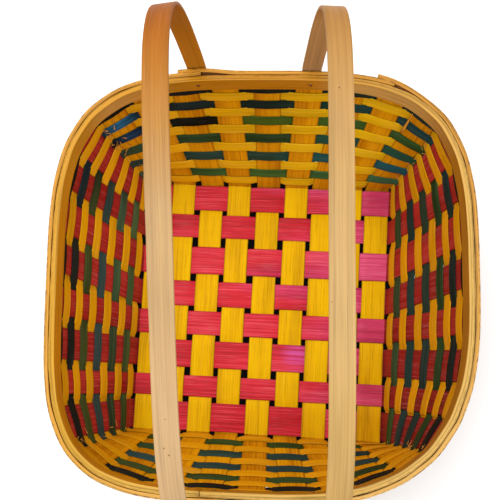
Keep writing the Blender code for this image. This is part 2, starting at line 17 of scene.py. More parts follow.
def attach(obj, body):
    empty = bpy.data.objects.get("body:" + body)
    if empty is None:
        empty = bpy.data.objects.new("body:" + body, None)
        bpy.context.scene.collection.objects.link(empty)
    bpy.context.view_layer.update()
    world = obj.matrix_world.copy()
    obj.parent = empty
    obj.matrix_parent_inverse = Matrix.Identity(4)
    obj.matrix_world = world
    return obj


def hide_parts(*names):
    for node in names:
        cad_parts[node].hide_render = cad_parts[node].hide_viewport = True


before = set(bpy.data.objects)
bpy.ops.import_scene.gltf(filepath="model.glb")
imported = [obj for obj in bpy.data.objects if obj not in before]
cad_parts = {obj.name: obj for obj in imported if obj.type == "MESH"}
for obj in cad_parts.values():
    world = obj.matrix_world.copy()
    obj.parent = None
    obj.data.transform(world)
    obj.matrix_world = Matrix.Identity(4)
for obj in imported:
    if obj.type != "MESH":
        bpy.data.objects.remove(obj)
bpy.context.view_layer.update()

MM = 0.001

# Sizes of the woven frame, as in the part
LENGTHWISE_COUNT = 9
CROSSWISE_COUNT = 8
LENGTHWISE_WIDTH = 18.6 * MM
CROSSWISE_WIDTH = 20.3 * MM
SPLINT_THICKNESS = 0.8 * MM
COLUMN_PITCH = 23.0 * MM
ROW_PITCH = 25.4 * MM
COLUMN_PITCH_SHARES = (0.86, 1.01, 0.97, 1.03, 0.99, 0.95, 0.94, 0.92)
ROW_PITCH_SHARES = (0.925, 1.115, 1.075, 0.935, 0.99, 1.01, 0.945)
ROW_WIDTH_SHARES = (1.01, 0.93, 1.1, 1, 0.945, 1.065, 0.825, 1.11)
FLOOR_SHIFT_X = -1.7 * MM
FLOOR_SHIFT_Y = -4.3 * MM
FOLD_REACH = 2.2 * MM
WEAVER_ROWS = 12
WEAVER_START = 4.4 * MM
WEAVER_HEIGHT = 6.5 * MM
WEAVER_GAP = 0.5 * MM
WEAVER_THICKNESS = 0.7 * MM
RIM_WIDTH = 280 * MM
RIM_DEPTH = 283 * MM
RIM_HEIGHT = 9.7 * MM
BACK_CORNER_SHARES = (3.5, 3.6)
FRONT_CORNER_SHARES = (4.1, 2.8)
RIM_SLANT_SHARES = (-0.041, 0.022)
MIDDLE_SPREAD_SHARE = 0.05
STAKE_SLIP_SHARES = (
    (0, 0.14), (8.5, 0.14), (11, 0.13), (12, 0.18), (14, 0.32), (15, 0.22), (16.3, 0.03), (17, 0.02),
    (21, -0.06), (25, -0.02), (26, 0.12), (27, 0.14), (28, 0.06), (30, 0.09), (34, 0.14),
)
WALL_PROFILE_SHARES = (
    (0, 0), (0.03, 0.04), (0.17, 0.205), (0.32, 0.42), (0.47, 0.614),
    (0.61, 0.763), (0.76, 0.877), (0.9, 0.961), (1, 1),
)
FRONT_SWELL_SHARE = 0.08
SWELL_POWER_SHARE = 1.3
CLEARANCE = 0.3 * MM
INNER_HOOP_THICKNESS = 3.6 * MM
OUTER_HOOP_THICKNESS = 2.4 * MM
HOOP_JOINT_GAP = 0.5 * MM
LAP_RAMP = 10 * MM
LAP_MARGIN = 3 * MM
INNER_JOINT_SHARE = -1.07
STRIP_LEFT_SHARE = -2.05
HOOP_LEFT_SHARE = -1.52
HOOP_RIGHT_SHARE = 2.52
STRIP_RIGHT_SHARE = 2.94
LEFT_FEET_SHARES = (-1.61, -0.8)
RIGHT_FEET_SHARES = (1.02, 1.36)
STRAP_WIDTH = 12.9 * MM
STRAP_THICKNESS = 2.0 * MM
HANDLE_RISE = 94 * MM
HANDLE_BULGE = 4.5 * MM
HANDLE_BULGE_POWER = 3
LEFT_LEAN = 8.4 * MM
RIGHT_LEAN = 10.5 * MM
HANDLE_SQUARENESS = 4.7
TWIST_SHARE = 0.5
LEFT_NAIL_SHIFTS = (0.4 * MM, 1.5 * MM)
RIGHT_NAIL_SHIFTS = (-0.4 * MM, 1.5 * MM)
NAIL_RADIUS = 0.6 * MM
NAIL_HEAD_RADIUS = 1.4 * MM
OUTLINE_POINTS = 1441
SLOPE_STEP = 1.5 * MM
# Where the part's centring on the floor puts the design's origin
CENTRING = np.array((0.3159, -0.297, 0)) * MM

# Sizes of the finer forms
SPLINT_ROUNDING = 0.3 * MM
SPLINT_CROWN = 0.06 * MM
SPLINT_UNEVENNESS = 0.012
STAKE_TOP_DROP = 1.8 * MM
# Bend from the floor up into a wall: shares of the fold's reach and of its height
FOLD_BEND_SHARES = ((0.5, 0.1), (0.9, 0.5))
WEAVER_ROUNDING = 0.35 * MM
WEAVER_CROWN = 0.1 * MM
WEAVER_UNEVENNESS = 0.015
WEAVER_EDGE_OFFSET = 0.76 * MM
WEAVER_MIDDLE_OFFSET = 1.05 * MM
# How far a weaver reaches below and above its middle, in rows: at the middle and the edges of a
# stake it passes inside, the same outside, and where it crosses its neighbours between two stakes
INNER_REACH_SHARES = ((0.56, 0.56), (0.52, 0.57))
OUTER_REACH_SHARES = ((0.74, 0.54), (0.9, 0.55))
CROSSING_REACH_SHARES = (0.6, 0.56)
END_ROW_REACH_SHARE = 0.5
# A strip's section: its flat part ends so many roundings from its edge, its corner at a share of its face
SHOULDER_ROUNDINGS = 3
SHOULDER_SHARE = 0.9
WOBBLE_WAVES = (3, 7, 13)
WOBBLE_STRENGTH = 0.8414709848078965
CURVE_STEPS = 2
HOOP_PLACES_PER_STAKE = 6
HOOP_EASINGS = 4
HOOP_HEIGHT_UNEVENNESS = 0.006
HOOP_THICKNESS_UNEVENNESS = 0.03
HOOP_BEVEL = 0.35 * MM
HOOP_LIP_REACH = (0.08 * MM, 0.75 * MM)
HOOP_LIP_HEIGHT = 1.2 * MM
HOOP_LIP_EASING = (0.25, 0.5, 0.25)
STRAP_BEVEL = 0.35 * MM
STRAP_SHOWN_THICKNESS = 1.75 * MM
STRAP_UNEVENNESS = 0.012
# Broader stretch of the left strap, on its outer side: share of its length and extra width
LEFT_STRAP_SWELL = (
    (0.14, 0), (0.21, 1.0 * MM), (0.27, 1.3 * MM), (0.34, 1.2 * MM), (0.46, 0.7 * MM), (0.6, 0))
RIGHT_STRAP_SWELL = ((0, 0), (1, 0))
STRAP_RUN = 430 * MM
ARCH_STEPS = 22
NAIL_SIDES = 24
NAIL_DOME = 0.55 * MM
NAIL_DOME_STEPS = 6
MERGE_REACH = 0.01 * MM

# Loose fibres: corner places with a count each, and the split strip's ends as place and height
FRAYED_CORNERS = ((33.65, 26), (8.5, 18), (16.5, 12), (25.5, 12))
FRAYED_REACH = 0.3
FIBRE_OFFSET = 1.75 * MM
FIBRE_TURN = 1.1
FIBRE_LENGTHS = (3 * MM, 7 * MM)
FIBRE_WIDTHS = (0.5 * MM, 1.0 * MM)
FIBRE_TAPER = 0.8
FIBRE_FLATNESS = 0.3
FIBRE_ROUNDING = 1 / 8
FIBRE_CURL = 0.15
FIBRE_STEPS = 6
SPLIT_STRIP_ENDS = ((7.7, 63 * MM), (7.72, 88 * MM))
SPLIT_STRIP_OFFSET = 2.1 * MM
SPLIT_STRIP_WIDTH = 2.6 * MM

# Seeds of the random draws, and how far they shift the fibres
LENGTHWISE_SEED, CROSSWISE_SEED, WEAVER_SEED = 100, 200, 300
FRAY_SEED, SPLIT_STRIP_SEED, FIBRE_SEED = 601, 609, 610
GRAIN_SHIFT = 5

# Stage: the pale floor, a dark patch of painted shadow under the woven floor that shows through its
# openings, and the lights
STAGE_SIZE = 40
STAGE_LEVEL = -0.3 * MM
STAGE_WHITE = 0.9
SHADE_LEVEL = -0.1 * MM
SHADE_REACH = 14 * MM
SHADE_EDGE_SHARE = 0.455
SHADE_ROUNDNESS = 30
SHADE_DARK = 0.004
WORLD_STRENGTH = 0.95
# Area lights: name, place in metres, power in watts and size
LIGHTS = (("overhead", (-0.4, 0.45, 1.3), 12.5, 1.2), ("fill", (0.7, -0.8, 0.9), 4, 0.8))

# Camera, in the design's frame
CAMERA_PLACE = np.array((20.9897, -69.4496, 478.4935)) * MM
CAMERA_TILT, CAMERA_ROLL, CAMERA_PAN = -0.0819, -0.0535, -0.0639
CAMERA_LENS = 43.2
CAMERA_SENSOR = 36
CAMERA_SHIFT = 0.18

# Worked out from the sizes above
STATIONS = 2 * (LENGTHWISE_COUNT + CROSSWISE_COUNT)
WEAVER_PITCH = WEAVER_HEIGHT + WEAVER_GAP
FOLD_HEIGHT = WEAVER_START - WEAVER_GAP / 2
RIM_BOTTOM = WEAVER_START + WEAVER_ROWS * WEAVER_PITCH
RIM_TOP = RIM_BOTTOM + RIM_HEIGHT
STAKE_FACE = SPLINT_THICKNESS / 2 + CLEARANCE
INNER_HOOP_OFFSET = -(STAKE_FACE + INNER_HOOP_THICKNESS / 2)
OUTER_HOOP_OFFSET = STAKE_FACE + OUTER_HOOP_THICKNESS / 2
OUTER_FACE = OUTER_HOOP_OFFSET + OUTER_HOOP_THICKNESS / 2
LAP_STEP = OUTER_HOOP_THICKNESS + CLEARANCE
WEAVE_OFFSET = (SPLINT_THICKNESS + CLEARANCE) / 2
FLOOR_LEVEL = WEAVE_OFFSET + SPLINT_THICKNESS / 2
STAKE_HALF_SHARE = 1 / 3
BACK_MIDDLE = (LENGTHWISE_COUNT - 1) / 2
FRONT_MIDDLE = BACK_MIDDLE + STATIONS / 2
QUARTER = STATIONS / 4


def strip_centres(pitch, shares):
    """Centres of strips one uneven pitch apart, set evenly about zero."""
    places = [0]
    for share in shares:
        places.append(places[-1] + pitch * share)
    middle = (places[0] + places[-1]) / 2
    return [place - middle for place in places]


COLUMN_X = [FLOOR_SHIFT_X + place for place in strip_centres(COLUMN_PITCH, COLUMN_PITCH_SHARES)]
ROW_Y = [FLOOR_SHIFT_Y - place for place in strip_centres(ROW_PITCH, ROW_PITCH_SHARES)]
ROW_WIDTHS = [CROSSWISE_WIDTH * share for share in ROW_WIDTH_SHARES]
FLOOR_LEFT_X = COLUMN_X[0] - LENGTHWISE_WIDTH / 2
FLOOR_RIGHT_X = COLUMN_X[-1] + LENGTHWISE_WIDTH / 2
FLOOR_BACK_Y = ROW_Y[0] + ROW_WIDTHS[0] / 2
FLOOR_FRONT_Y = ROW_Y[-1] - ROW_WIDTHS[-1] / 2


def unit(vector):
    """Vector, or each row of vectors, at length one."""
    vector = np.asarray(vector, float)
    return vector / np.linalg.norm(vector, axis=-1, keepdims=True)


def rim_outline(half_width, half_depth):
    """Clockwise points of the rounded square from the back middle, and the length run to each."""
    turns = np.linspace(0, 2 * math.pi, OUTLINE_POINTS)
    across, along = np.sin(turns), np.cos(turns)
    back = np.where(across < 0, *BACK_CORNER_SHARES)
    front = np.where(across < 0, *FRONT_CORNER_SHARES)
    power = np.where(along < 0, front, back)
    radius = (np.abs(across / half_width) ** power + np.abs(along / half_depth) ** power) ** (-1 / power)
    x, y = radius * across, radius * along
    points = np.stack([x + RIM_SLANT_SHARES[0] * y, y + RIM_SLANT_SHARES[1] * x], 1)
    runs = np.concatenate([[0], np.cumsum(np.linalg.norm(np.diff(points, axis=0), axis=1))])
    return points, runs


STAKE_LINE_INSET = OUTER_HOOP_THICKNESS + STAKE_FACE
RIM_POINTS, RIM_RUNS = rim_outline(RIM_WIDTH / 2 - STAKE_LINE_INSET, RIM_DEPTH / 2 - STAKE_LINE_INSET)
RIM_PITCH = RIM_RUNS[-1] / STATIONS


def rim_place(place):
    """Point of the stake line at the rim, by its place counted in stakes from the back left."""
    quarters = round((place - BACK_MIDDLE) / QUARTER)
    stakes = place - BACK_MIDDLE - quarters * QUARTER
    slip = np.interp(place % STATIONS, *np.transpose(STAKE_SLIP_SHARES))
    side = RIM_PITCH * stakes * (1 + MIDDLE_SPREAD_SHARE * (1 - (2 * stakes / QUARTER) ** 2))
    run = ((quarters * QUARTER + slip) * RIM_PITCH + side) % RIM_RUNS[-1]
    return np.array([np.interp(run, RIM_RUNS, RIM_POINTS[:, axis]) for axis in range(2)] + [0])


def station_feet():
    """Foot point, clockwise direction and width of every stake, clockwise from the back left."""
    rows = list(zip(ROW_Y, ROW_WIDTHS))
    feet = [((x, FLOOR_BACK_Y + FOLD_REACH, 0), (1, 0, 0), LENGTHWISE_WIDTH) for x in COLUMN_X]
    feet += [((FLOOR_RIGHT_X + FOLD_REACH, y, 0), (0, -1, 0), width) for y, width in rows]
    feet += [((x, FLOOR_FRONT_Y - FOLD_REACH, 0), (-1, 0, 0), LENGTHWISE_WIDTH) for x in COLUMN_X[::-1]]
    feet += [((FLOOR_LEFT_X - FOLD_REACH, y, 0), (0, 1, 0), width) for y, width in rows[::-1]]
    return [(np.array(foot, float), np.array(direction, float), width) for foot, direction, width in feet]


FEET = station_feet()
TOPS = [rim_place(station) for station in range(STATIONS)]
TOP_DIRECTIONS = [
    unit(rim_place(station + STAKE_HALF_SHARE) - rim_place(station - STAKE_HALF_SHARE))
    for station in range(STATIONS)
]
PROFILE = np.array(WALL_PROFILE_SHARES)
PROFILE_EASING = np.array((-0.04, -0.02, 0, 0.02, 0.04))


def lean_share(station, height):
    """How far a stake has leaned from the floor's edge to the rim, at a height."""
    risen = min(max((height - FOLD_HEIGHT) / (RIM_TOP - FOLD_HEIGHT), 0), 1)
    reach = min(risen, 1 - risen) / -PROFILE_EASING[0]
    eased = np.interp(risen + PROFILE_EASING * min(reach, 1), PROFILE[:, 0], PROFILE[:, 1]).mean()
    frontness = max(-math.cos(2 * math.pi * (station - BACK_MIDDLE) / STATIONS), 0)
    return float(eased) + FRONT_SWELL_SHARE * frontness * math.sin(math.pi * risen ** SWELL_POWER_SHARE)


def stake_section(station, height):
    """Middle of a stake at a height and the half-width vector across it, clockwise."""
    foot, direction, width = FEET[station % STATIONS]
    share = lean_share(station % STATIONS, height)
    middle = foot + (TOPS[station % STATIONS] - foot) * share + np.array((0, 0, height))
    across = unit(direction + (TOP_DIRECTIONS[station % STATIONS] - direction) * share) * width / 2
    return middle, across


def on_stake(station, side, height):
    """Point of a stake, the upward direction there and the outward one: side runs from -1 to 1."""
    middle, across = stake_section(station, height)
    below, across_below = stake_section(station, height - SLOPE_STEP)
    above, across_above = stake_section(station, height + SLOPE_STEP)
    up = unit(above + side * across_above - below - side * across_below)
    return middle + side * across, up, unit(np.cross(up, across))


def on_ring(place, height):
    """Point, upward and outward direction of the wall at a place that may lie between two stakes."""
    station = math.floor(place + 0.5)
    past = place - station
    if abs(past) <= STAKE_HALF_SHARE:
        return on_stake(station, past / STAKE_HALF_SHARE, height)
    if past < 0:
        station -= 1
        past += 1
    share = (past - STAKE_HALF_SHARE) / (1 - 2 * STAKE_HALF_SHARE)
    before, after = on_stake(station, 1, height), on_stake(station + 1, -1, height)
    point, up, out = (first + (last - first) * share for first, last in zip(before, after))
    return point, unit(up), unit(out)


def back_place(stakes, shift=0):
    """Place on the ring so many stakes and a short shift to the right of the back middle."""
    return BACK_MIDDLE + stakes + shift / RIM_PITCH


def front_place(stakes, shift=0):
    """Place on the ring so many stakes and a short shift to the right of the front middle."""
    return FRONT_MIDDLE - stakes - shift / RIM_PITCH


def smoothed(values):
    """Points of a smooth curve through the given ones."""
    values = np.asarray(values, float)
    row = np.concatenate([2 * values[:1] - values[1:2], values, 2 * values[-1:] - values[-2:-1]])
    t = (np.arange(CURVE_STEPS) / CURVE_STEPS).reshape((-1,) + (1,) * (values.ndim - 1))
    pieces = []
    for number in range(len(values) - 1):
        a, b, c, d = row[number:number + 4]
        pieces.append(0.5 * (
            2 * b + (c - a) * t + (2 * a - 5 * b + 4 * c - d) * t ** 2 + (3 * b - a - 3 * c + d) * t ** 3))
    return np.concatenate([*pieces, values[-1:]])


def squared(centres, acrosses):
    """Directions across and out of a strip, square to its line and to each other."""
    tangents = unit(np.gradient(centres, axis=0))
    outs = unit(np.cross(acrosses, tangents))
    return unit(np.cross(tangents, outs)), outs


def wobble(count, amount, rng):
    """Slow uneven change along a strip, as a factor about one."""
    places = np.linspace(0, 1, count)
    total = np.zeros(count)
    for waves in WOBBLE_WAVES:
        wave = np.sin(2 * math.pi * (waves * places + rng.random()))
        total += WOBBLE_STRENGTH * wave / len(WOBBLE_WAVES)
    return 1 + amount * total


def rings(outline):
    """Outline of a strip for each place along it, as (across, out) pairs."""
    return np.stack([np.stack(np.broadcast_arrays(*pair), 1) for pair in outline], 1)


def strip_section(widths, thicknesses, rounding, crown):
    """Rounded and crowned outline of a flat strip."""
    half, flat = np.asarray(widths) / 2, np.asarray(thicknesses) / 2
    near, inner = half - rounding, half - SHOULDER_ROUNDINGS * rounding
    zero, corner = np.zeros_like(half), flat * SHOULDER_SHARE
    top = [(-near, corner), (-inner, flat), (zero, flat + crown), (inner, flat), (near, corner)]
    bottom = [(across, -out) for across, out in reversed(top)]
    outline = [*top, (half, zero), *bottom, (-half, zero)]
    return rings(outline)


def bevelled_section(widths, thicknesses, bevel, lips=None, lip_side=1):
    """Flat strip with crisp bevels; a lip of uneven reach may stand out at the top of one face."""
    half, flat = np.asarray(widths) / 2, np.asarray(thicknesses) / 2
    corners = []
    for up, out in ((-1, 1), (1, 1), (1, -1), (-1, -1)):
        near = [(half - 2 * bevel, flat), (half - bevel, flat), (half - bevel / 3, flat - bevel / 3)]
        far = [(half, flat - bevel), (half, flat - 2 * bevel)]
        corner = [(up * across, out * reach) for across, reach in near + far]
        corners.append(corner if up == out else corner[::-1])
    if lips is not None:
        corner = corners[1 if lip_side > 0 else 2]
        root = half - HOOP_LIP_HEIGHT
        raised = [(across, reach + lip_side * lips) for across, reach in corner]
        foot = (root, lip_side * flat)
        corners[1 if lip_side > 0 else 2] = [foot, *raised] if lip_side > 0 else [*raised, foot]
    outline = [pair for corner in corners for pair in corner]
    return rings(outline)


def finished_piece(name, mesh, material):
    """Object of a finished mesh, smoothly shaded."""
    mesh.polygons.foreach_set("use_smooth", [True] * len(mesh.polygons))
    mesh.materials.append(material)
    piece = bpy.data.objects.new(name, mesh)
    bpy.context.scene.collection.objects.link(piece)
    return piece


def add_strip(name, centres, acrosses, outs, section, material, seed, places=None):
    """Strip lofted along a line, with fibre coordinates in metres and its places as shares."""
    rng = random.Random(seed)
    count, corners = section.shape[:2]
    points = centres[:, None] + acrosses[:, None] * section[..., :1] + outs[:, None] * section[..., 1:]
    points += CENTRING
    points[..., 2] = np.maximum(points[..., 2], 0)
    faces = []
    for ring in range(count - 1):
        for corner in range(corners):
            following = (corner + 1) % corners
            faces.append((
                ring * corners + corner, ring * corners + following,
                (ring + 1) * corners + following, (ring + 1) * corners + corner))
    faces.append(tuple(range(corners))[::-1])
    faces.append(tuple((count - 1) * corners + corner for corner in range(corners)))
    mesh = bpy.data.meshes.new(name)
    mesh.from_pydata(points.reshape(-1, 3).tolist(), [], faces)

    run = np.concatenate([[0], np.cumsum(np.linalg.norm(np.diff(centres, axis=0), axis=1))])
    turned = run / run[-1] if places is None else places / STATIONS
    steps = np.linalg.norm(np.diff(section.mean(0), axis=0), axis=1)
    along = np.repeat(run, corners)
    around = np.tile(np.concatenate([[0], np.cumsum(steps)]), count)
    across, outward = (half / (half.max() * 2) + 0.5 for half in section.reshape(-1, 2).T)
    layers = {
        "fibre": (along + rng.uniform(0, GRAIN_SHIFT), around + rng.uniform(0, GRAIN_SHIFT)),
        "share": (along / run[-1], across),
        "side": (np.repeat(turned, corners), outward)}
    loops = np.empty(len(mesh.loops), int)
    mesh.loops.foreach_get("vertex_index", loops)
    for layer, pair in layers.items():
        mesh.uv_layers.new(name=layer).data.foreach_set("uv", np.stack(pair, 1)[loops].reshape(-1))
    form = bmesh.new()
    form.from_mesh(mesh)
    bmesh.ops.recalc_face_normals(form, faces=form.faces[:])
    form.to_mesh(mesh)
    form.free()
    return finished_piece(name, mesh, material)


def show(node, piece):
    """Puts a fine form in the place of a node of the frame."""
    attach(piece, "root")
    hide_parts(node)


def linear(colour):
    """Linear colour of a hex colour."""
    parts = [int(colour[place:place + 2], 16) / 255 for place in (1, 3, 5)]
    return [part / 12.92 if part <= 0.04045 else ((part + 0.055) / 1.055) ** 2.4 for part in parts] + [1]


class Shading:
    """Small helper that adds nodes to one material."""

    def __init__(self, name):
        self.material = bpy.data.materials.new(name)
        self.material.use_nodes = True
        self.tree = self.material.node_tree
        self.shader = self.tree.nodes["Principled BSDF"]

    def add(self, kind, inputs=(), **settings):
        node = self.tree.nodes.new(kind)
        for key, value in settings.items():
            setattr(node, key, value)
        for key, value in dict(inputs).items():
            self.put(node.inputs[key], value)
        return node

    def put(self, socket, value):
        """Links a socket to another, or sets its own value."""
        if isinstance(value, bpy.types.NodeSocket):
            self.tree.links.new(value, socket)
        else:
            socket.default_value = value

    def finish(self, inputs):
        for name, value in inputs.items():
            self.put(self.shader.inputs[name], value)

    def uv(self, name):
        return self.add("ShaderNodeUVMap", uv_map=name).outputs["UV"]

    def place(self):
        return self.add("ShaderNodeTexCoord").outputs["Object"]

    def part(self, vector, axis):
        return self.add("ShaderNodeSeparateXYZ", {0: vector}).outputs[axis]

    def scaled(self, vector, scale):
        return self.add("ShaderNodeVectorMath", {0: vector, 1: scale}, operation="MULTIPLY").outputs[0]

    def distance(self, vector, point):
        node = self.add("ShaderNodeVectorMath", {0: vector, 1: point}, operation="DISTANCE")
        return node.outputs["Value"]

    def maths(self, operation, first, second=0.0):
        return self.add("ShaderNodeMath", {0: first, 1: second}, operation=operation).outputs[0]

    def apart(self, value, middle):
        return self.maths("ABSOLUTE", self.maths("SUBTRACT", value, middle))

    def span(self, value, low, high, to_low=0.0, to_high=1.0):
        inputs = {"Value": value, "From Min": low, "From Max": high, "To Min": to_low, "To Max": to_high}
        return self.add("ShaderNodeMapRange", inputs).outputs["Result"]

    def noise(self, vector, detail, roughness=0.55, dimensions="2D", scale=1.0):
        inputs = {"Vector": vector, "Scale": scale, "Detail": detail, "Roughness": roughness}
        return self.add("ShaderNodeTexNoise", inputs, noise_dimensions=dimensions).outputs["Fac"]

    def ramp(self, value, stops, smooth=False):
        """Colours or grey levels at places of a value."""
        node = self.add("ShaderNodeValToRGB", {"Fac": value})
        ramp = node.color_ramp
        ramp.interpolation = "EASE" if smooth else "LINEAR"
        while len(ramp.elements) < len(stops):
            ramp.elements.new(0.5)
        for element, (place, colour) in zip(ramp.elements, stops):
            element.position = place
            element.color = linear(colour) if isinstance(colour, str) else (colour, colour, colour, 1)
        return node.outputs["Color"]

    def toned(self, tone, places, tones):
        return self.ramp(tone, list(zip(places, tones)))

    def dyed(self, side, dyes):
        """Dyes by share of the ring, or of the length of a strip that isn't on the ring."""
        return self.ramp(self.maths("FRACT", self.part(side, 0)), dyes)

    def mix(self, share, first, second, blend="MIX"):
        node = self.add("ShaderNodeMix", {"Factor": share}, data_type="RGBA", blend_type=blend)
        sockets = {socket.identifier: socket for socket in (*node.inputs, *node.outputs)}
        self.put(sockets["A_Color"], first)
        self.put(sockets["B_Color"], second)
        return sockets["Result_Color"]

    def times(self, first, second):
        return self.mix(1.0, first, second, "MULTIPLY")


# Scales of the fibres' noises, along and across a strip, and of the tint's unevenness
PATCH_GRAIN = (9, 45, 0)
BAND_GRAIN = (6, 700, 0)
FINE_GRAIN = (25, 2600, 0)
FURROW_GRAIN = (2.5, 420, 0)
FLECK_GRAIN = (220, 1400, 0)
TINT_GRAIN = (4, 22, 0)
GRAIN_RELIEF = 0.15 * MM
GRAIN_STRENGTH = 0.35
COAT_ROUGHNESS = 0.25
TONE_STOPS = (0.36, 0.5, 0.64)
DYE_STOPS = (0.38, 0.5, 0.62)
# The walls' tones, partly the splints' own colour and partly painted shade on the walls,
# start at these heights, or so far past the floor's edges
WALL_HEIGHTS = (1.95 * MM, 2.8 * MM)
WALL_MARGIN = 0.4 * MM
# Magenta tint towards the right of the floor
TINT_SPAN = (12 * MM, 58 * MM)
TINT_UNEVENNESS = 35 * MM
TINT_SLANT = 0.25
# Painted shade: towards the front right the floor and, more strongly, the walls are darkened
FLOOR_SHADE_SPAN = (80 * MM, 180 * MM)
FLOOR_SHADE_TONE = "#EEDFCB"
WALL_SHADE_SPAN = (40 * MM, 200 * MM)
# Painted glare: pale magenta highlight on one crosswise splint, its middle and reach, streaked along the
# fibres
GLARE_PLACE = (29 * MM, -42.5 * MM)
GLARE_REACH = 15 * MM
GLARE_COLOUR = "#D2509A"
# A hoop's split top begins at this share of its width, and flecks of skin lie on its outer face
TOP_SPAN = (0.93, 0.965)
SKIN_SPAN = (0.4, 0.8)
FLECK_SPAN = (0.52, 0.57)
FLECK_COLOUR = "#5A2E08"


def tinted(shade, colour, tone, bands, place, tones):
    """Colour with the floor's tint and a painted glare."""
    uneven = shade.noise(shade.scaled(place, TINT_GRAIN), 1.0)
    shift = shade.span(uneven, 0.3, 0.7, -TINT_UNEVENNESS, TINT_UNEVENNESS)
    reach = shade.maths("ADD", shade.part(place, 0), shift)
    reach = shade.maths("ADD", reach, shade.maths("MULTIPLY", shade.part(place, 1), TINT_SLANT))
    colour = shade.mix(shade.span(reach, *TINT_SPAN), colour, shade.toned(tone, TONE_STOPS, tones))
    # Painted glare: a pale magenta highlight round one place, streaked along the fibres
    from_glare = shade.distance(shade.scaled(place, (1, 1, 0)), (*GLARE_PLACE, 0))
    near = shade.span(from_glare, GLARE_REACH, GLARE_REACH / 3)
    streaks = shade.span(bands, 0.38, 0.58, 0.15, 0.9)
    return shade.mix(shade.maths("MULTIPLY", near, streaks), colour, linear(GLARE_COLOUR))


def walled(shade, colour, tone, place, tones, wall_shade):
    """Splint's colour, with other tones on the walls: partly its own, partly painted shade."""
    risen = shade.span(shade.part(place, 2), *WALL_HEIGHTS)
    for axis, low, high in ((0, FLOOR_LEFT_X, FLOOR_RIGHT_X), (1, FLOOR_FRONT_Y, FLOOR_BACK_Y)):
        middle, reach = (low + high) / 2 + CENTRING[axis], (high - low) / 2
        past = shade.span(shade.apart(shade.part(place, axis), middle), reach, reach + WALL_MARGIN)
        risen = shade.maths("MAXIMUM", risen, past)
    # Painted shade: darker towards the front right, on the floor and on the walls
    diagonal = shade.maths("SUBTRACT", shade.part(place, 0), shade.part(place, 1))
    floor_shading = shade.ramp(shade.span(diagonal, *FLOOR_SHADE_SPAN), [(0, 1.0), (1, FLOOR_SHADE_TONE)])
    wall_shading = shade.ramp(shade.span(diagonal, *WALL_SHADE_SPAN), [(0, 1.0), (1, wall_shade)])
    wall = shade.times(shade.toned(tone, TONE_STOPS, tones), wall_shading)
    return shade.mix(risen, shade.times(colour, floor_shading), wall)


def skinned(shade, colour, bands, fibre, share, side, dyes, specks):
    """Colour of a hoop with its split top and flecks of skin."""
    topping = shade.times(shade.dyed(side, dyes), shade.ramp(bands, [(0.38, 0.6), (0.52, 1.0)]))
    colour = shade.mix(shade.span(shade.part(share, 1), *TOP_SPAN), colour, topping)
    flecks = shade.span(shade.noise(shade.scaled(fibre, FLECK_GRAIN), 3.0, 0.7), *FLECK_SPAN)
    skin = shade.maths("MULTIPLY", shade.span(shade.part(side, 1), *SKIN_SPAN), flecks)
    return shade.mix(shade.maths("MULTIPLY", skin, specks), colour, linear(FLECK_COLOUR))


def dotted(shade, colour, share, dots):
    """Colour of a strap with small dark flecks."""
    spread = shade.scaled(share, (STRAP_RUN, STRAP_WIDTH, 0))
    for along, across, radius in dots:
        apart = shade.distance(spread, (along * STRAP_RUN, across * STRAP_WIDTH, 0))
        fleck = shade.ramp(shade.maths("DIVIDE", apart, radius), [(0.3, 0.35), (1.0, 1.0)])
        colour = shade.times(colour, fleck)
    return colour


def bamboo(
        name, tones, wall_tones_and_shade=None, dyes=None, tint=None, top=None, specks=0.0, dots=(), grooves=1.0,
        dark=0.7, light=0.06, edge=0.72, edge_shade_from=0.86, wall_shade=1.0, rough=0.5, coat=0.0, shine=0.1):
    """Bamboo strip: fibres along it, patches of tone, edges darkened as painted shade and a satin finish.
    """
    shade = Shading(name)
    fibre, share, side, place = shade.uv("fibre"), shade.uv("share"), shade.uv("side"), shade.place()
    patches = shade.noise(shade.scaled(fibre, PATCH_GRAIN), 2.0)
    bands = shade.noise(shade.scaled(fibre, BAND_GRAIN), 3.0, 0.6)
    fine = shade.noise(shade.scaled(fibre, FINE_GRAIN), 2.0, 0.7)
    tone = shade.maths("ADD", shade.maths("MULTIPLY", patches, 0.5), shade.maths("MULTIPLY", bands, 0.5))
    if dyes:
        colour = shade.times(shade.dyed(side, dyes), shade.toned(tone, DYE_STOPS, (*tones, 1.0)))
    else:
        colour = shade.toned(tone, TONE_STOPS, tones)
    if tint:
        colour = tinted(shade, colour, tone, bands, place, tint)
    if wall_tones_and_shade:
        colour = walled(shade, colour, tone, place, wall_tones_and_shade, wall_shade)
    if top:
        colour = skinned(shade, colour, bands, fibre, share, side, top, specks)
    paler = shade.mix(1.0, colour, (light, light, light, 1), "ADD")
    colour = shade.mix(shade.maths("MULTIPLY", shade.span(fine, 0.6, 0.72), 0.5), colour, paler)
    colour = shade.times(colour, shade.ramp(fine, [(0.3, dark), (0.42, 1.0)]))
    if grooves < 1:
        furrows = shade.noise(shade.scaled(fibre, FURROW_GRAIN), 1.0)
        colour = shade.times(colour, shade.ramp(furrows, [(0.38, grooves), (0.48, 1.0)]))
    if dots:
        colour = dotted(shade, colour, share, dots)
    # Painted shade: the strip darkens towards its long edges, standing in for the shade lines between
    # neighbouring strips
    off_middle = shade.maths("MULTIPLY", shade.apart(shade.part(share, 1), 0.5), 2.0)
    colour = shade.times(colour, shade.ramp(off_middle, [(edge_shade_from, 1.0), (1.0, edge)]))
    height = shade.maths("ADD", bands, shade.maths("MULTIPLY", fine, 0.6))
    relief = shade.add(
        "ShaderNodeBump", {"Height": height, "Strength": GRAIN_STRENGTH, "Distance": GRAIN_RELIEF})
    shade.finish({
        "Base Color": colour, "Roughness": shade.span(bands, 0.3, 0.7, rough - 0.06, rough + 0.1),
        "Specular IOR Level": shine, "Coat Weight": coat, "Coat Roughness": COAT_ROUGHNESS,
        "Normal": relief.outputs["Normal"]})
    return shade.material


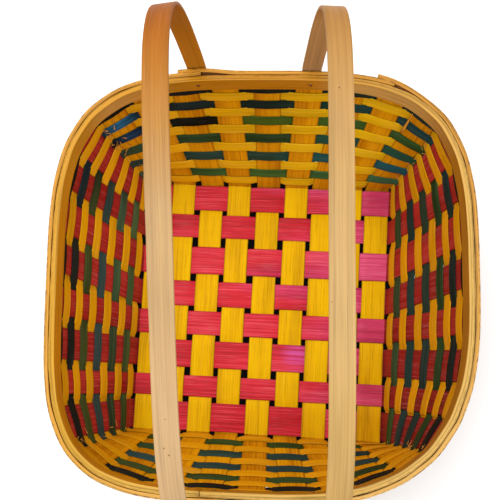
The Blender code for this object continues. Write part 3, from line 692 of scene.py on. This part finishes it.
def nail_metal():
    """Dull steel with faint blotches."""
    shade = Shading("nail_metal")
    blotches = shade.noise(shade.place(), 3.0, 0.6, "3D", 900.0)
    shade.finish({
        "Base Color": shade.ramp(blotches, [(0.4, "#4A3218"), (0.6, "#B8905A")]),
        "Roughness": shade.span(blotches, 0.3, 0.7, 0.3, 0.5), "Metallic": 1})
    return shade.material


# Dyed weavers: record slot, and the dye at places on the ring, which changes from wall to wall.
# Row 10's brighter blue at place 0, between darker blue stops, is a painted highlight on that bar
DYED_ROWS_AND_HIGHLIGHT = {
    2: ("weaver_green", (
        (0, "#385A2C"), (4, "#44662A"), (6, "#42703C"), (8.5, "#3E6E50"), (9.5, "#324424"),
        (14, "#384C2E"), (17, "#34501E"), (25, "#3A521E"), (27, "#4E5E30"), (31, "#4E6A3E"),
        (33.5, "#4A5A3E"))),
    4: ("weaver_teal", (
        (0, "#2A463E"), (4, "#263E2E"), (5.2, "#22504A"), (8.5, "#205A66"), (9.5, "#22342C"),
        (14, "#223A34"), (18, "#243C3A"), (22, "#284238"), (24, "#2E4C2A"), (27, "#3C4A30"),
        (31, "#4C6A44"), (33.5, "#425446"))),
    6: ("weaver_green", (
        (0, "#324E32"), (3, "#2B421C"), (4.6, "#29401E"), (6, "#205042"), (8.5, "#24503C"),
        (9.5, "#283826"), (14, "#263830"), (18, "#243A36"), (24, "#2A4846"), (27, "#364644"),
        (31, "#3A5450"), (33.5, "#3A483C"))),
    8: ("weaver_olive", (
        (0, "#1C4468"), (0.5, "#10202C"), (1.5, "#12160E"), (2.6, "#0C0C06"), (3.4, "#485C14"),
        (5, "#425E1C"), (8.5, "#325A2A"), (10, "#28401E"), (17, "#283C1C"), (21, "#304A24"),
        (26, "#445024"), (31, "#445226"), (33.2, "#202420"), (33.6, "#10202C"))),
    # Row 10: the blue is dye, and the brighter blue at place 0 is a painted highlight
    10: ("weaver_dark", (
        (0, "#2A729C"), (0.5, "#183C4C"), (1.2, "#1A2C2C"), (4, "#12241E"), (5.5, "#14382E"),
        (8.5, "#224A4C"), (10, "#1A2C26"), (17, "#0A1614"), (25, "#12201E"), (31, "#1E2622"),
        (33.4, "#163440"))),
    12: ("weaver_dark", (
        (0, "#121414"), (4, "#101E1C"), (8.5, "#284438"), (10, "#0C1814"), (17, "#081010"),
        (25, "#0C1414"), (31, "#141E1C"), (33.5, "#101618"))),
}
# The other dyes: share of the ring, or of a strap's length from its back foot, and colour
YELLOW_ROW_DYES = (
    (0, "#E2A00C"), (0.06, "#E0A408"), (0.13, "#E0AC0A"), (0.18, "#E6B60C"), (0.24, "#E6B40E"),
    (0.27, "#D29006"), (0.49, "#D28E04"), (0.53, "#DA9404"), (0.68, "#DA9604"), (0.78, "#DC9A04"),
    (0.94, "#E2A206"), (1, "#E2A00C"))
RIM_TOP_DYES = (
    (0, "#C88C20"), (0.12, "#C08018"), (0.2, "#C4903C"), (0.3, "#CCA052"), (0.4, "#CCA254"),
    (0.6, "#D0A656"), (0.75, "#C8962E"), (1, "#C88C20"))
# Inner hoop's face: its own tones, with paler stops near the back corners (0 to 0.03, 0.18 to 0.225, 0.97
# to 1) that are painted glare
RIM_FACE_DYES_AND_GLARE = (
    (0, "#CC9648"), (0.03, "#C88E3C"), (0.055, "#B87A12"), (0.12, "#B2720A"), (0.15, "#B47614"),
    (0.18, "#CA9C52"), (0.225, "#C69850"), (0.28, "#A26A14"), (0.5, "#9E6614"), (0.6, "#B47A10"),
    (0.7, "#C6820E"), (0.9, "#C6820E"), (0.97, "#C08620"), (1, "#CC9648"))
OUTER_TOP_DYES = (
    (0, "#CC8E2A"), (0.12, "#CC8E2C"), (0.24, "#C88C34"), (0.38, "#CA9442"), (0.45, "#D0A052"),
    (0.58, "#D2A458"), (0.75, "#CC9438"), (1, "#CC8E2A"))
LEFT_STRAP_DYES = (
    (0, "#BC7A18"), (0.06, "#B47016"), (0.12, "#A06212"), (0.17, "#9A5A0C"), (0.2, "#99500A"),
    (0.25, "#A65F15"), (0.3, "#AC6C21"), (0.37, "#B37F3E"), (0.41, "#B78A53"), (0.46, "#BD9767"),
    (0.53, "#BE9A6A"), (0.7, "#C29F73"), (1, "#AB8960"))
RIGHT_STRAP_DYES = (
    (0, "#AF8353"), (0.13, "#B68951"), (0.18, "#A5743D"), (0.22, "#A7753B"), (0.25, "#AC7C41"),
    (0.29, "#B4874B"), (0.35, "#BD935A"), (0.41, "#BE975E"), (0.46, "#BD9862"), (0.53, "#C19C66"),
    (0.6, "#C5A067"), (0.7, "#C39C5D"), (1, "#A47C40"))
# Small dark flecks on the straps: share along, share across and radius
LEFT_STRAP_DOTS = ((0.7204, 0.39, 0.55 * MM), (0.728, 0.55, 0.6 * MM), (0.69, 0.5, 0.4 * MM))
RIGHT_STRAP_DOTS = ((0.3233, 0.42, 0.6 * MM), (0.56, 0.1, 0.4 * MM))
# A splint's second tones are for its walls: partly its own colour, partly painted shade
MATERIALS = {
    "splint_yellow": bamboo(
        "yellow_splint", ("#D09A00", "#E6AF00", "#ECBA00"), ("#B06A02", "#CA8404", "#DC9806"),
        light=0.03, dark=0.6, edge=0.62, shine=0.04),
    "splint_red": bamboo(
        "red_splint", ("#AE161E", "#CE1E2E", "#DE3E4C"), ("#8A1D18", "#A1241E", "#B02E26"), wall_shade=0.62,
        tint=("#B4284E", "#CE3862", "#E0567E"), light=0.2, dark=0.62, rough=0.4, shine=0.12),
    "weaver_yellow": bamboo(
        "yellow_weaver", (0.78, 0.94), dyes=YELLOW_ROW_DYES, light=0.1, dark=0.75, edge=0.5,
        edge_shade_from=0.76, shine=0.06),
    "inner_rim": bamboo(
        "inner_rim_bamboo", (0.75, 0.92), dyes=RIM_FACE_DYES_AND_GLARE, top=RIM_TOP_DYES, specks=0.35,
        edge=1.0, rough=0.4, coat=0.12),
    "outer_rim": bamboo(
        "outer_rim_bamboo", ("#98600E", "#B47A1C", "#C48A2A"), top=OUTER_TOP_DYES, specks=0.9,
        edge=1.0, rough=0.4, coat=0.08, shine=0.15),
    "left_handle": bamboo(
        "left_handle_bamboo", (0.8, 0.93), dyes=LEFT_STRAP_DYES, dots=LEFT_STRAP_DOTS, grooves=0.94,
        dark=0.85, edge=0.9),
    "right_handle": bamboo(
        "right_handle_bamboo", (0.8, 0.93), dyes=RIGHT_STRAP_DYES, dots=RIGHT_STRAP_DOTS, grooves=0.92,
        dark=0.85, edge=0.9),
    "loose_fibre": bamboo("loose_fibre", ("#C88A24", "#DCA03C", "#ECB464"), light=0.1, dark=0.8),
    "nail_steel": nail_metal(),
}
for dyed_row, (_, row_dyes_and_highlight) in DYED_ROWS_AND_HIGHLIGHT.items():
    ring_dyes_and_highlight = [(station / STATIONS, dye) for station, dye in row_dyes_and_highlight] + [(1, row_dyes_and_highlight[0][1])]
    MATERIALS[f"weaver_{dyed_row:02d}"] = bamboo(
        f"dyed_weaver_{dyed_row:02d}", (0.5, 0.88), dyes=ring_dyes_and_highlight, light=0.07, dark=0.6, edge=0.5,
        edge_shade_from=0.76, shine=0.06)


def splint_line(crossings, over_first, lengthwise, first, last):
    """Middle line of a splint and its direction across, from one wall's top to the other's."""
    rows = [FOLD_HEIGHT + row * WEAVER_PITCH for row in range(WEAVER_ROWS, 0, -1)]
    heights = [RIM_TOP - STAKE_TOP_DROP, *rows, FOLD_HEIGHT + WEAVER_PITCH / 3]
    down = [stake_section(first, height) for height in heights]
    up = [stake_section(last, height) for height in reversed(heights)]
    line = []
    over = over_first
    for centre, width in crossings:
        level = FLOOR_LEVEL + (WEAVE_OFFSET if over else -WEAVE_OFFSET)
        line += [(centre + side * width / 2, level) for side in (-1, 0, 1)]
        over = not over
    ends = []
    for (place, level), outward in ((line[0], -1), (line[-1], 1)):
        ends.append([
            (place + outward * FOLD_REACH * reach, level + (FOLD_HEIGHT - level) * rise)
            for reach, rise in FOLD_BEND_SHARES])
    line = ends[0][::-1] + line + ends[1]
    foot = FEET[last][0]
    if lengthwise:
        across = np.array((1, 0, 0))
        floor = [np.array((foot[0], place, level)) for place, level in line]
    else:
        across = np.array((0, -1, 0))
        floor = [np.array((place, foot[1], level)) for place, level in line]
    centres = [point for point, _ in down] + floor + [point for point, _ in up]
    acrosses = [-unit(width) for _, width in down] + [across] * len(floor)
    acrosses += [unit(width) for _, width in up]
    return np.array(centres), np.array(acrosses, float)


def add_splint(node, crossings, over_first, lengthwise, width, first, last, slot, seed):
    """One splint up one wall, over and under across the floor, and up the other wall."""
    rng = random.Random(seed)
    centres, acrosses = splint_line(crossings, over_first, lengthwise, first, last)
    centres, acrosses = smoothed(centres), unit(smoothed(acrosses))
    acrosses, inward = squared(centres, acrosses)
    widths = width * wobble(len(centres), SPLINT_UNEVENNESS, rng)
    section = strip_section(widths, SPLINT_THICKNESS, SPLINT_ROUNDING, SPLINT_CROWN)
    show(node, add_strip(f"fine_{node}", centres, acrosses, inward, section, MATERIALS[slot], seed))


def add_splints():
    """All floor splints, from left to right and then from back to front."""
    rows = list(reversed(list(zip(ROW_Y, ROW_WIDTHS))))
    for column in range(LENGTHWISE_COUNT):
        front = 2 * LENGTHWISE_COUNT + CROSSWISE_COUNT - 1 - column
        add_splint(
            f"lengthwise_splint_{column + 1}", rows, (column + CROSSWISE_COUNT) % 2 == 0, True,
            LENGTHWISE_WIDTH, front, column, "splint_yellow", LENGTHWISE_SEED + column)
    columns = [(x, LENGTHWISE_WIDTH) for x in COLUMN_X]
    for row in range(CROSSWISE_COUNT):
        add_splint(
            f"crosswise_splint_{row + 1}", columns, row % 2 == 0, False, ROW_WIDTHS[row],
            STATIONS - 1 - row, LENGTHWISE_COUNT + row, "splint_red", CROSSWISE_SEED + row)


def lap_station(row):
    """Stake behind which a weaver's ends lap, on each wall in turn."""
    middle = int(BACK_MIDDLE + (row % 4) * STATIONS / 4)
    return middle + 1 if (middle + row) % 2 == 0 else middle


def add_weaver(row):
    """One weaver in and out round all the stakes, drawn tight, with its ends lapped outside."""
    rng = random.Random(WEAVER_SEED + row)
    first = lap_station(row)
    height = WEAVER_START + (row - 1) * WEAVER_PITCH + WEAVER_HEIGHT / 2
    line = []
    for station in range(first, first + STATIONS + 1):
        outside = (station - first) % 2 == 0
        away = 1 if outside else -1
        lap = WEAVER_THICKNESS if station == first + STATIONS else 0
        middle, edge = OUTER_REACH_SHARES if outside else INNER_REACH_SHARES
        for side in (-1, 0, 1):
            offset, reach = (WEAVER_EDGE_OFFSET, edge) if side else (WEAVER_MIDDLE_OFFSET, middle)
            point, up, out = on_stake(station, side, height)
            point = point + out * (away * offset + lap)
            line.append((point, up, reach, station + side * STAKE_HALF_SHARE))
        if station < first + STATIONS:
            point, up, _ = on_ring(station + 0.5, height)
            line.append((point, up, CROSSING_REACH_SHARES, station + 0.5))
    centres, ups, reaches, places = (smoothed([item[part] for item in line]) for part in range(4))
    below, above = reaches.T
    if row == 1:
        below = np.minimum(below, END_ROW_REACH_SHARE)
    if row == WEAVER_ROWS:
        above = np.minimum(above, END_ROW_REACH_SHARE)
    ups = unit(ups)
    widths = (below + above) * WEAVER_PITCH * wobble(len(centres), WEAVER_UNEVENNESS, rng)
    centres = centres + ups * ((above - below) * WEAVER_PITCH / 2)[:, None]
    tangents = unit(np.gradient(centres, axis=0))
    outs = unit(np.cross(ups, tangents))
    section = strip_section(widths, WEAVER_THICKNESS, WEAVER_ROUNDING, WEAVER_CROWN)
    node = f"weaver_{row:02d}"
    material = MATERIALS["weaver_yellow" if row % 2 else node]
    piece = add_strip(f"fine_{node}", centres, ups, outs, section, material, WEAVER_SEED + row, places)
    show(node, piece)


def add_hoop(node, material, first, last, thickness, offsets, lip_side, seed):
    """Rim hoop between two places on the ring, with its offsets by place and a lip towards the stakes."""
    places = np.linspace(first, last, int((last - first) * HOOP_PLACES_PER_STAKE) + 1)
    lows = np.array([on_ring(place, RIM_BOTTOM)[0] for place in places])
    highs = np.array([on_ring(place, RIM_TOP)[0] for place in places])
    ups = unit(highs - lows)
    outs = unit(np.cross(ups, unit(np.gradient(highs, axis=0))))
    centres = (lows + highs) / 2 + outs * np.interp(places, *np.transpose(offsets))[:, None]
    for _ in range(HOOP_EASINGS):
        centres[1:-1] = (centres[:-2] + 2 * centres[1:-1] + centres[2:]) / 4
        ups[1:-1] = (ups[:-2] + 2 * ups[1:-1] + ups[2:]) / 4
    ups = unit(ups)
    outs = unit(np.cross(ups, unit(np.gradient(centres, axis=0))))
    rng = random.Random(seed)
    lips = np.convolve([rng.uniform(*HOOP_LIP_REACH) for _ in places], HOOP_LIP_EASING, "same")
    heights = RIM_HEIGHT * wobble(len(centres), HOOP_HEIGHT_UNEVENNESS, rng)
    thicknesses = thickness * wobble(len(centres), HOOP_THICKNESS_UNEVENNESS, rng)
    section = bevelled_section(heights, thicknesses, HOOP_BEVEL, lips, lip_side)
    piece = add_strip(f"fine_{node}", centres, ups, outs, section, MATERIALS[material], seed, places)
    show(node, piece)


def add_rim():
    """Inner hoop with a butt joint, and outer hoop whose ends lap with a short strip at the back."""
    joint = front_place(INNER_JOINT_SHARE)
    half_gap = HOOP_JOINT_GAP / 2 / RIM_PITCH
    add_hoop(
        "inner_rim_hoop", "inner_rim", joint + half_gap, joint - half_gap + STATIONS, INNER_HOOP_THICKNESS,
        ((0, INNER_HOOP_OFFSET),), 1, 401)

    ramp = LAP_RAMP / RIM_PITCH
    margin = LAP_MARGIN / RIM_PITCH
    above = OUTER_HOOP_OFFSET + LAP_STEP
    strip_lap = back_place(LEFT_FEET_SHARES[0], STRAP_WIDTH / 2) + margin
    strip_end = back_place(STRIP_RIGHT_SHARE)
    hoop_lap = strip_end + margin
    add_hoop(
        "outer_rim_back_strip", "outer_rim", back_place(STRIP_LEFT_SHARE), strip_end, OUTER_HOOP_THICKNESS,
        ((strip_lap, above), (strip_lap + ramp, OUTER_HOOP_OFFSET)), -1, 402)
    hoop_end = back_place(HOOP_LEFT_SHARE) + STATIONS
    add_hoop(
        "outer_rim_hoop", "outer_rim", back_place(HOOP_RIGHT_SHARE), hoop_end, OUTER_HOOP_THICKNESS,
        ((hoop_lap, above), (hoop_lap + ramp, OUTER_HOOP_OFFSET)), -1, 403)


def foot_points(place, face):
    """Centre points and width direction of a strap foot against the rim's outer face."""
    offset = face + CLEARANCE + STRAP_THICKNESS / 2
    points = []
    for height in (RIM_BOTTOM, (RIM_BOTTOM + RIM_TOP) / 2, RIM_TOP):
        point, _, out = on_ring(place, height)
        points.append(point + out * offset)
    reach = STRAP_WIDTH / 2 / RIM_PITCH
    across = on_ring(place + reach, RIM_TOP)[0] - on_ring(place - reach, RIM_TOP)[0]
    across[2] = 0
    return points, unit(across) * math.copysign(1, across[0])


def arch_half(foot, across, other, lean, lean_across):
    """Arch from one foot up to the top middle, as (centre, width direction) pairs."""
    half = []
    for step in range(1, ARCH_STEPS + 1):
        turn = step / ARCH_STEPS * math.pi / 2
        radius = (math.cos(turn) ** HANDLE_SQUARENESS + math.sin(turn) ** HANDLE_SQUARENESS) ** (
            -1 / HANDLE_SQUARENESS)
        reach, rise = radius * math.cos(turn), radius * math.sin(turn)
        side = math.copysign(1, foot[1])
        bulge = side * HANDLE_BULGE
        y = (foot[1] + bulge) * reach - bulge * (1 - rise) ** HANDLE_BULGE_POWER
        x = foot[0] + (other[0] - foot[0]) * (foot[1] - y) / (foot[1] - other[1]) + lean * rise
        centre = np.array((x, y, foot[2] + HANDLE_RISE * rise))
        share = min(rise / TWIST_SHARE, 1)
        half.append((centre, unit(across + (lean_across - across) * share)))
    return half


def add_handle(node, feet, lean, back_face, swell, seed):
    """Strap handle with small rounded bevels along its edges."""
    rng = random.Random(seed)
    back, back_across = foot_points(back_place(feet[0]), back_face)
    front, front_across = foot_points(front_place(feet[1]), OUTER_FACE)
    plane = unit(np.cross(front[2] - back[2], (lean, 0, HANDLE_RISE)))
    plane = plane * math.copysign(1, plane[0])
    line = [(point, back_across) for point in back]
    line += arch_half(back[2], back_across, front[2], lean, plane)
    line += arch_half(front[2], front_across, back[2], lean, plane)[-2::-1]
    line += [(point, front_across) for point in reversed(front)]
    centres = smoothed([centre for centre, _ in line])
    acrosses, under = squared(centres, unit(smoothed([across for _, across in line])))
    run = np.cumsum(np.linalg.norm(np.diff(centres, axis=0, prepend=centres[:1]), axis=1))
    extra = np.interp(run / run[-1], *zip(*swell))
    centres = centres - acrosses * extra[:, None] / 2
    widths = STRAP_WIDTH * wobble(len(centres), STRAP_UNEVENNESS, rng) + extra
    section = bevelled_section(widths, STRAP_SHOWN_THICKNESS, STRAP_BEVEL)
    piece = add_strip(f"fine_{node}", centres, acrosses, under, section, MATERIALS[node], seed)
    show(node, piece)


def add_nail(node, place, outer_face):
    """Nail with a domed head."""
    height = (RIM_BOTTOM + RIM_TOP) / 2
    point, _, out = on_ring(place, height)
    turned = Vector(out).to_track_quat("Z", "Y").to_matrix().to_4x4()
    seat = INNER_HOOP_OFFSET - INNER_HOOP_THICKNESS / 2
    dome = [
        (NAIL_HEAD_RADIUS * math.sin(turn), seat - NAIL_DOME * math.cos(turn))
        for turn in np.linspace(0, math.pi / 2, NAIL_DOME_STEPS)]
    tip = outer_face + CLEARANCE + STRAP_THICKNESS - NAIL_RADIUS
    profile = [*dome, (NAIL_RADIUS, seat), (NAIL_RADIUS, tip - NAIL_RADIUS), (0, tip)]
    form = bmesh.new()
    points = [form.verts.new((radius, 0, along)) for radius, along in profile]
    edges = [form.edges.new(pair) for pair in zip(points, points[1:])]
    bmesh.ops.spin(
        form, geom=[*points, *edges], cent=(0, 0, 0), axis=(0, 0, 1), angle=2 * math.pi,
        steps=NAIL_SIDES, use_merge=True)
    bmesh.ops.remove_doubles(form, verts=form.verts[:], dist=MERGE_REACH)
    bmesh.ops.recalc_face_normals(form, faces=form.faces[:])
    form.transform(Matrix.Translation(Vector(point + CENTRING)) @ turned)
    mesh = bpy.data.meshes.new(f"fine_{node}")
    form.to_mesh(mesh)
    form.free()
    show(node, finished_piece(f"fine_{node}", mesh, MATERIALS["nail_steel"]))


def add_nails():
    """One nail into each strap foot."""
    add_nail("nail_left_back", back_place(LEFT_FEET_SHARES[0], LEFT_NAIL_SHIFTS[0]), OUTER_FACE + LAP_STEP)
    add_nail("nail_right_back", back_place(RIGHT_FEET_SHARES[0], RIGHT_NAIL_SHIFTS[0]), OUTER_FACE)
    add_nail("nail_left_front", front_place(LEFT_FEET_SHARES[1], LEFT_NAIL_SHIFTS[1]), OUTER_FACE)
    add_nail("nail_right_front", front_place(RIGHT_FEET_SHARES[1], RIGHT_NAIL_SHIFTS[1]), OUTER_FACE)


def sliver(name, start, direction, curl, length, width, seed):
    """Pointed bamboo sliver from a point on the wall, curling away from it."""
    shares = np.linspace(0, 1, FIBRE_STEPS)
    centres = start + np.outer(shares * length, direction)
    centres = centres + np.outer(shares ** 2 * length * FIBRE_CURL, curl)
    tangents = unit(np.gradient(centres, axis=0))
    sides = unit(np.cross(curl, tangents))
    widths = width * (1 - FIBRE_TAPER * shares)
    section = strip_section(widths, widths * FIBRE_FLATNESS, widths * FIBRE_ROUNDING, 0)
    outs = np.cross(tangents, sides)
    return add_strip(name, centres, sides, outs, section, MATERIALS["loose_fibre"], seed)


def add_fibres():
    """Frayed fibres at the corners and one split strip across the back right corner, as one piece."""
    rng = random.Random(FRAY_SEED)
    low, high = FOLD_HEIGHT + WEAVER_PITCH, RIM_BOTTOM - WEAVER_PITCH
    pieces = []
    for corner, count in FRAYED_CORNERS:
        for _ in range(count):
            place = corner + rng.uniform(-FRAYED_REACH, FRAYED_REACH)
            point, up, out = on_ring(place, rng.uniform(low, high))
            turn = rng.uniform(-FIBRE_TURN, FIBRE_TURN)
            direction = up * math.cos(turn) + np.cross(up, out) * math.sin(turn)
            pieces.append(sliver(
                f"fibre_{len(pieces)}", point - out * FIBRE_OFFSET, direction, -out,
                rng.uniform(*FIBRE_LENGTHS), rng.uniform(*FIBRE_WIDTHS), FIBRE_SEED + len(pieces)))
    ends = [on_ring(place, height) for place, height in SPLIT_STRIP_ENDS]
    foot, tip = [point - out * SPLIT_STRIP_OFFSET for point, _, out in ends]
    length = float(np.linalg.norm(tip - foot))
    direction = (tip - foot) / length
    pieces.append(sliver(
        "split_strip", foot, direction, -ends[0][2], length, SPLIT_STRIP_WIDTH, SPLIT_STRIP_SEED))
    with bpy.context.temp_override(active_object=pieces[0], selected_editable_objects=pieces):
        bpy.ops.object.join()
    pieces[0].name = "loose_fibres"
    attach(pieces[0], "root")


def add_stage():
    """Pale floor, a dark patch of painted shadow under the woven floor, soft light and a pale world."""
    bpy.ops.mesh.primitive_plane_add(size=STAGE_SIZE, location=(0, 0, STAGE_LEVEL))
    floor = bpy.context.object
    floor.name = "stage_floor"
    pale = Shading("pale_floor")
    pale.finish({"Base Color": (STAGE_WHITE, STAGE_WHITE, STAGE_WHITE, 1), "Roughness": 0.9})
    floor.data.materials.append(pale.material)
    x, y = CENTRING[:2] + (FLOOR_SHIFT_X, FLOOR_SHIFT_Y)
    bpy.ops.mesh.primitive_plane_add(size=1, location=(x, y, SHADE_LEVEL))
    patch = bpy.context.object
    patch.name = "stage_shade"
    patch.scale = (
        FLOOR_RIGHT_X - FLOOR_LEFT_X + 2 * SHADE_REACH, FLOOR_BACK_Y - FLOOR_FRONT_Y + 2 * SHADE_REACH, 1)
    # Painted shadow: dark in the middle, fading to the floor's white past the woven floor's edges
    dark = Shading("shade_patch")
    spread = dark.add("ShaderNodeTexCoord").outputs["Generated"]
    aparts = [dark.apart(dark.part(spread, axis), 0.5) for axis in range(2)]
    powers = [dark.maths("POWER", apart, SHADE_ROUNDNESS) for apart in aparts]
    reach = dark.maths("POWER", dark.maths("ADD", *powers), 1 / SHADE_ROUNDNESS)
    dark.finish({
        "Base Color": dark.ramp(reach, [(SHADE_EDGE_SHARE, SHADE_DARK), (0.5, STAGE_WHITE)], smooth=True),
        "Roughness": 1, "Specular IOR Level": 0})
    patch.data.materials.append(dark.material)

    world = bpy.data.worlds.new("pale")
    world.use_nodes = True
    background = world.node_tree.nodes["Background"]
    background.inputs["Color"].default_value = (1, 1, 1, 1)
    background.inputs["Strength"].default_value = WORLD_STRENGTH
    bpy.context.scene.world = world

    for name, place, energy, size in LIGHTS:
        light = bpy.data.lights.new(name, "AREA")
        light.energy = energy
        light.size = size
        lamp = bpy.data.objects.new(name, light)
        lamp.location = place
        lamp.rotation_euler = (-Vector(place)).to_track_quat("-Z", "Y").to_euler()
        bpy.context.scene.collection.objects.link(lamp)


def add_camera():
    """Camera at the photograph's place, nearly straight above the basket."""
    turn = (
        Matrix.Rotation(CAMERA_ROLL, 3, "Z") @ Matrix.Rotation(CAMERA_TILT, 3, "X")
        @ Matrix.Rotation(CAMERA_PAN, 3, "Y"))
    lens = bpy.data.cameras.new("camera")
    lens.lens = CAMERA_LENS
    lens.sensor_width = CAMERA_SENSOR
    lens.shift_y = CAMERA_SHIFT
    camera = bpy.data.objects.new("camera", lens)
    camera.matrix_world = Matrix.Translation(Vector(CAMERA_PLACE + CENTRING)) @ turn.transposed().to_4x4()
    bpy.context.scene.collection.objects.link(camera)
    bpy.context.scene.camera = camera


add_splints()
for number in range(1, WEAVER_ROWS + 1):
    add_weaver(number)
add_rim()
add_handle("left_handle", LEFT_FEET_SHARES, -LEFT_LEAN, OUTER_FACE + LAP_STEP, LEFT_STRAP_SWELL, 501)
add_handle("right_handle", RIGHT_FEET_SHARES, RIGHT_LEAN, OUTER_FACE, RIGHT_STRAP_SWELL, 502)
add_nails()
add_fibres()
add_stage()
add_camera()
bpy.context.scene.view_settings.view_transform = "Standard"
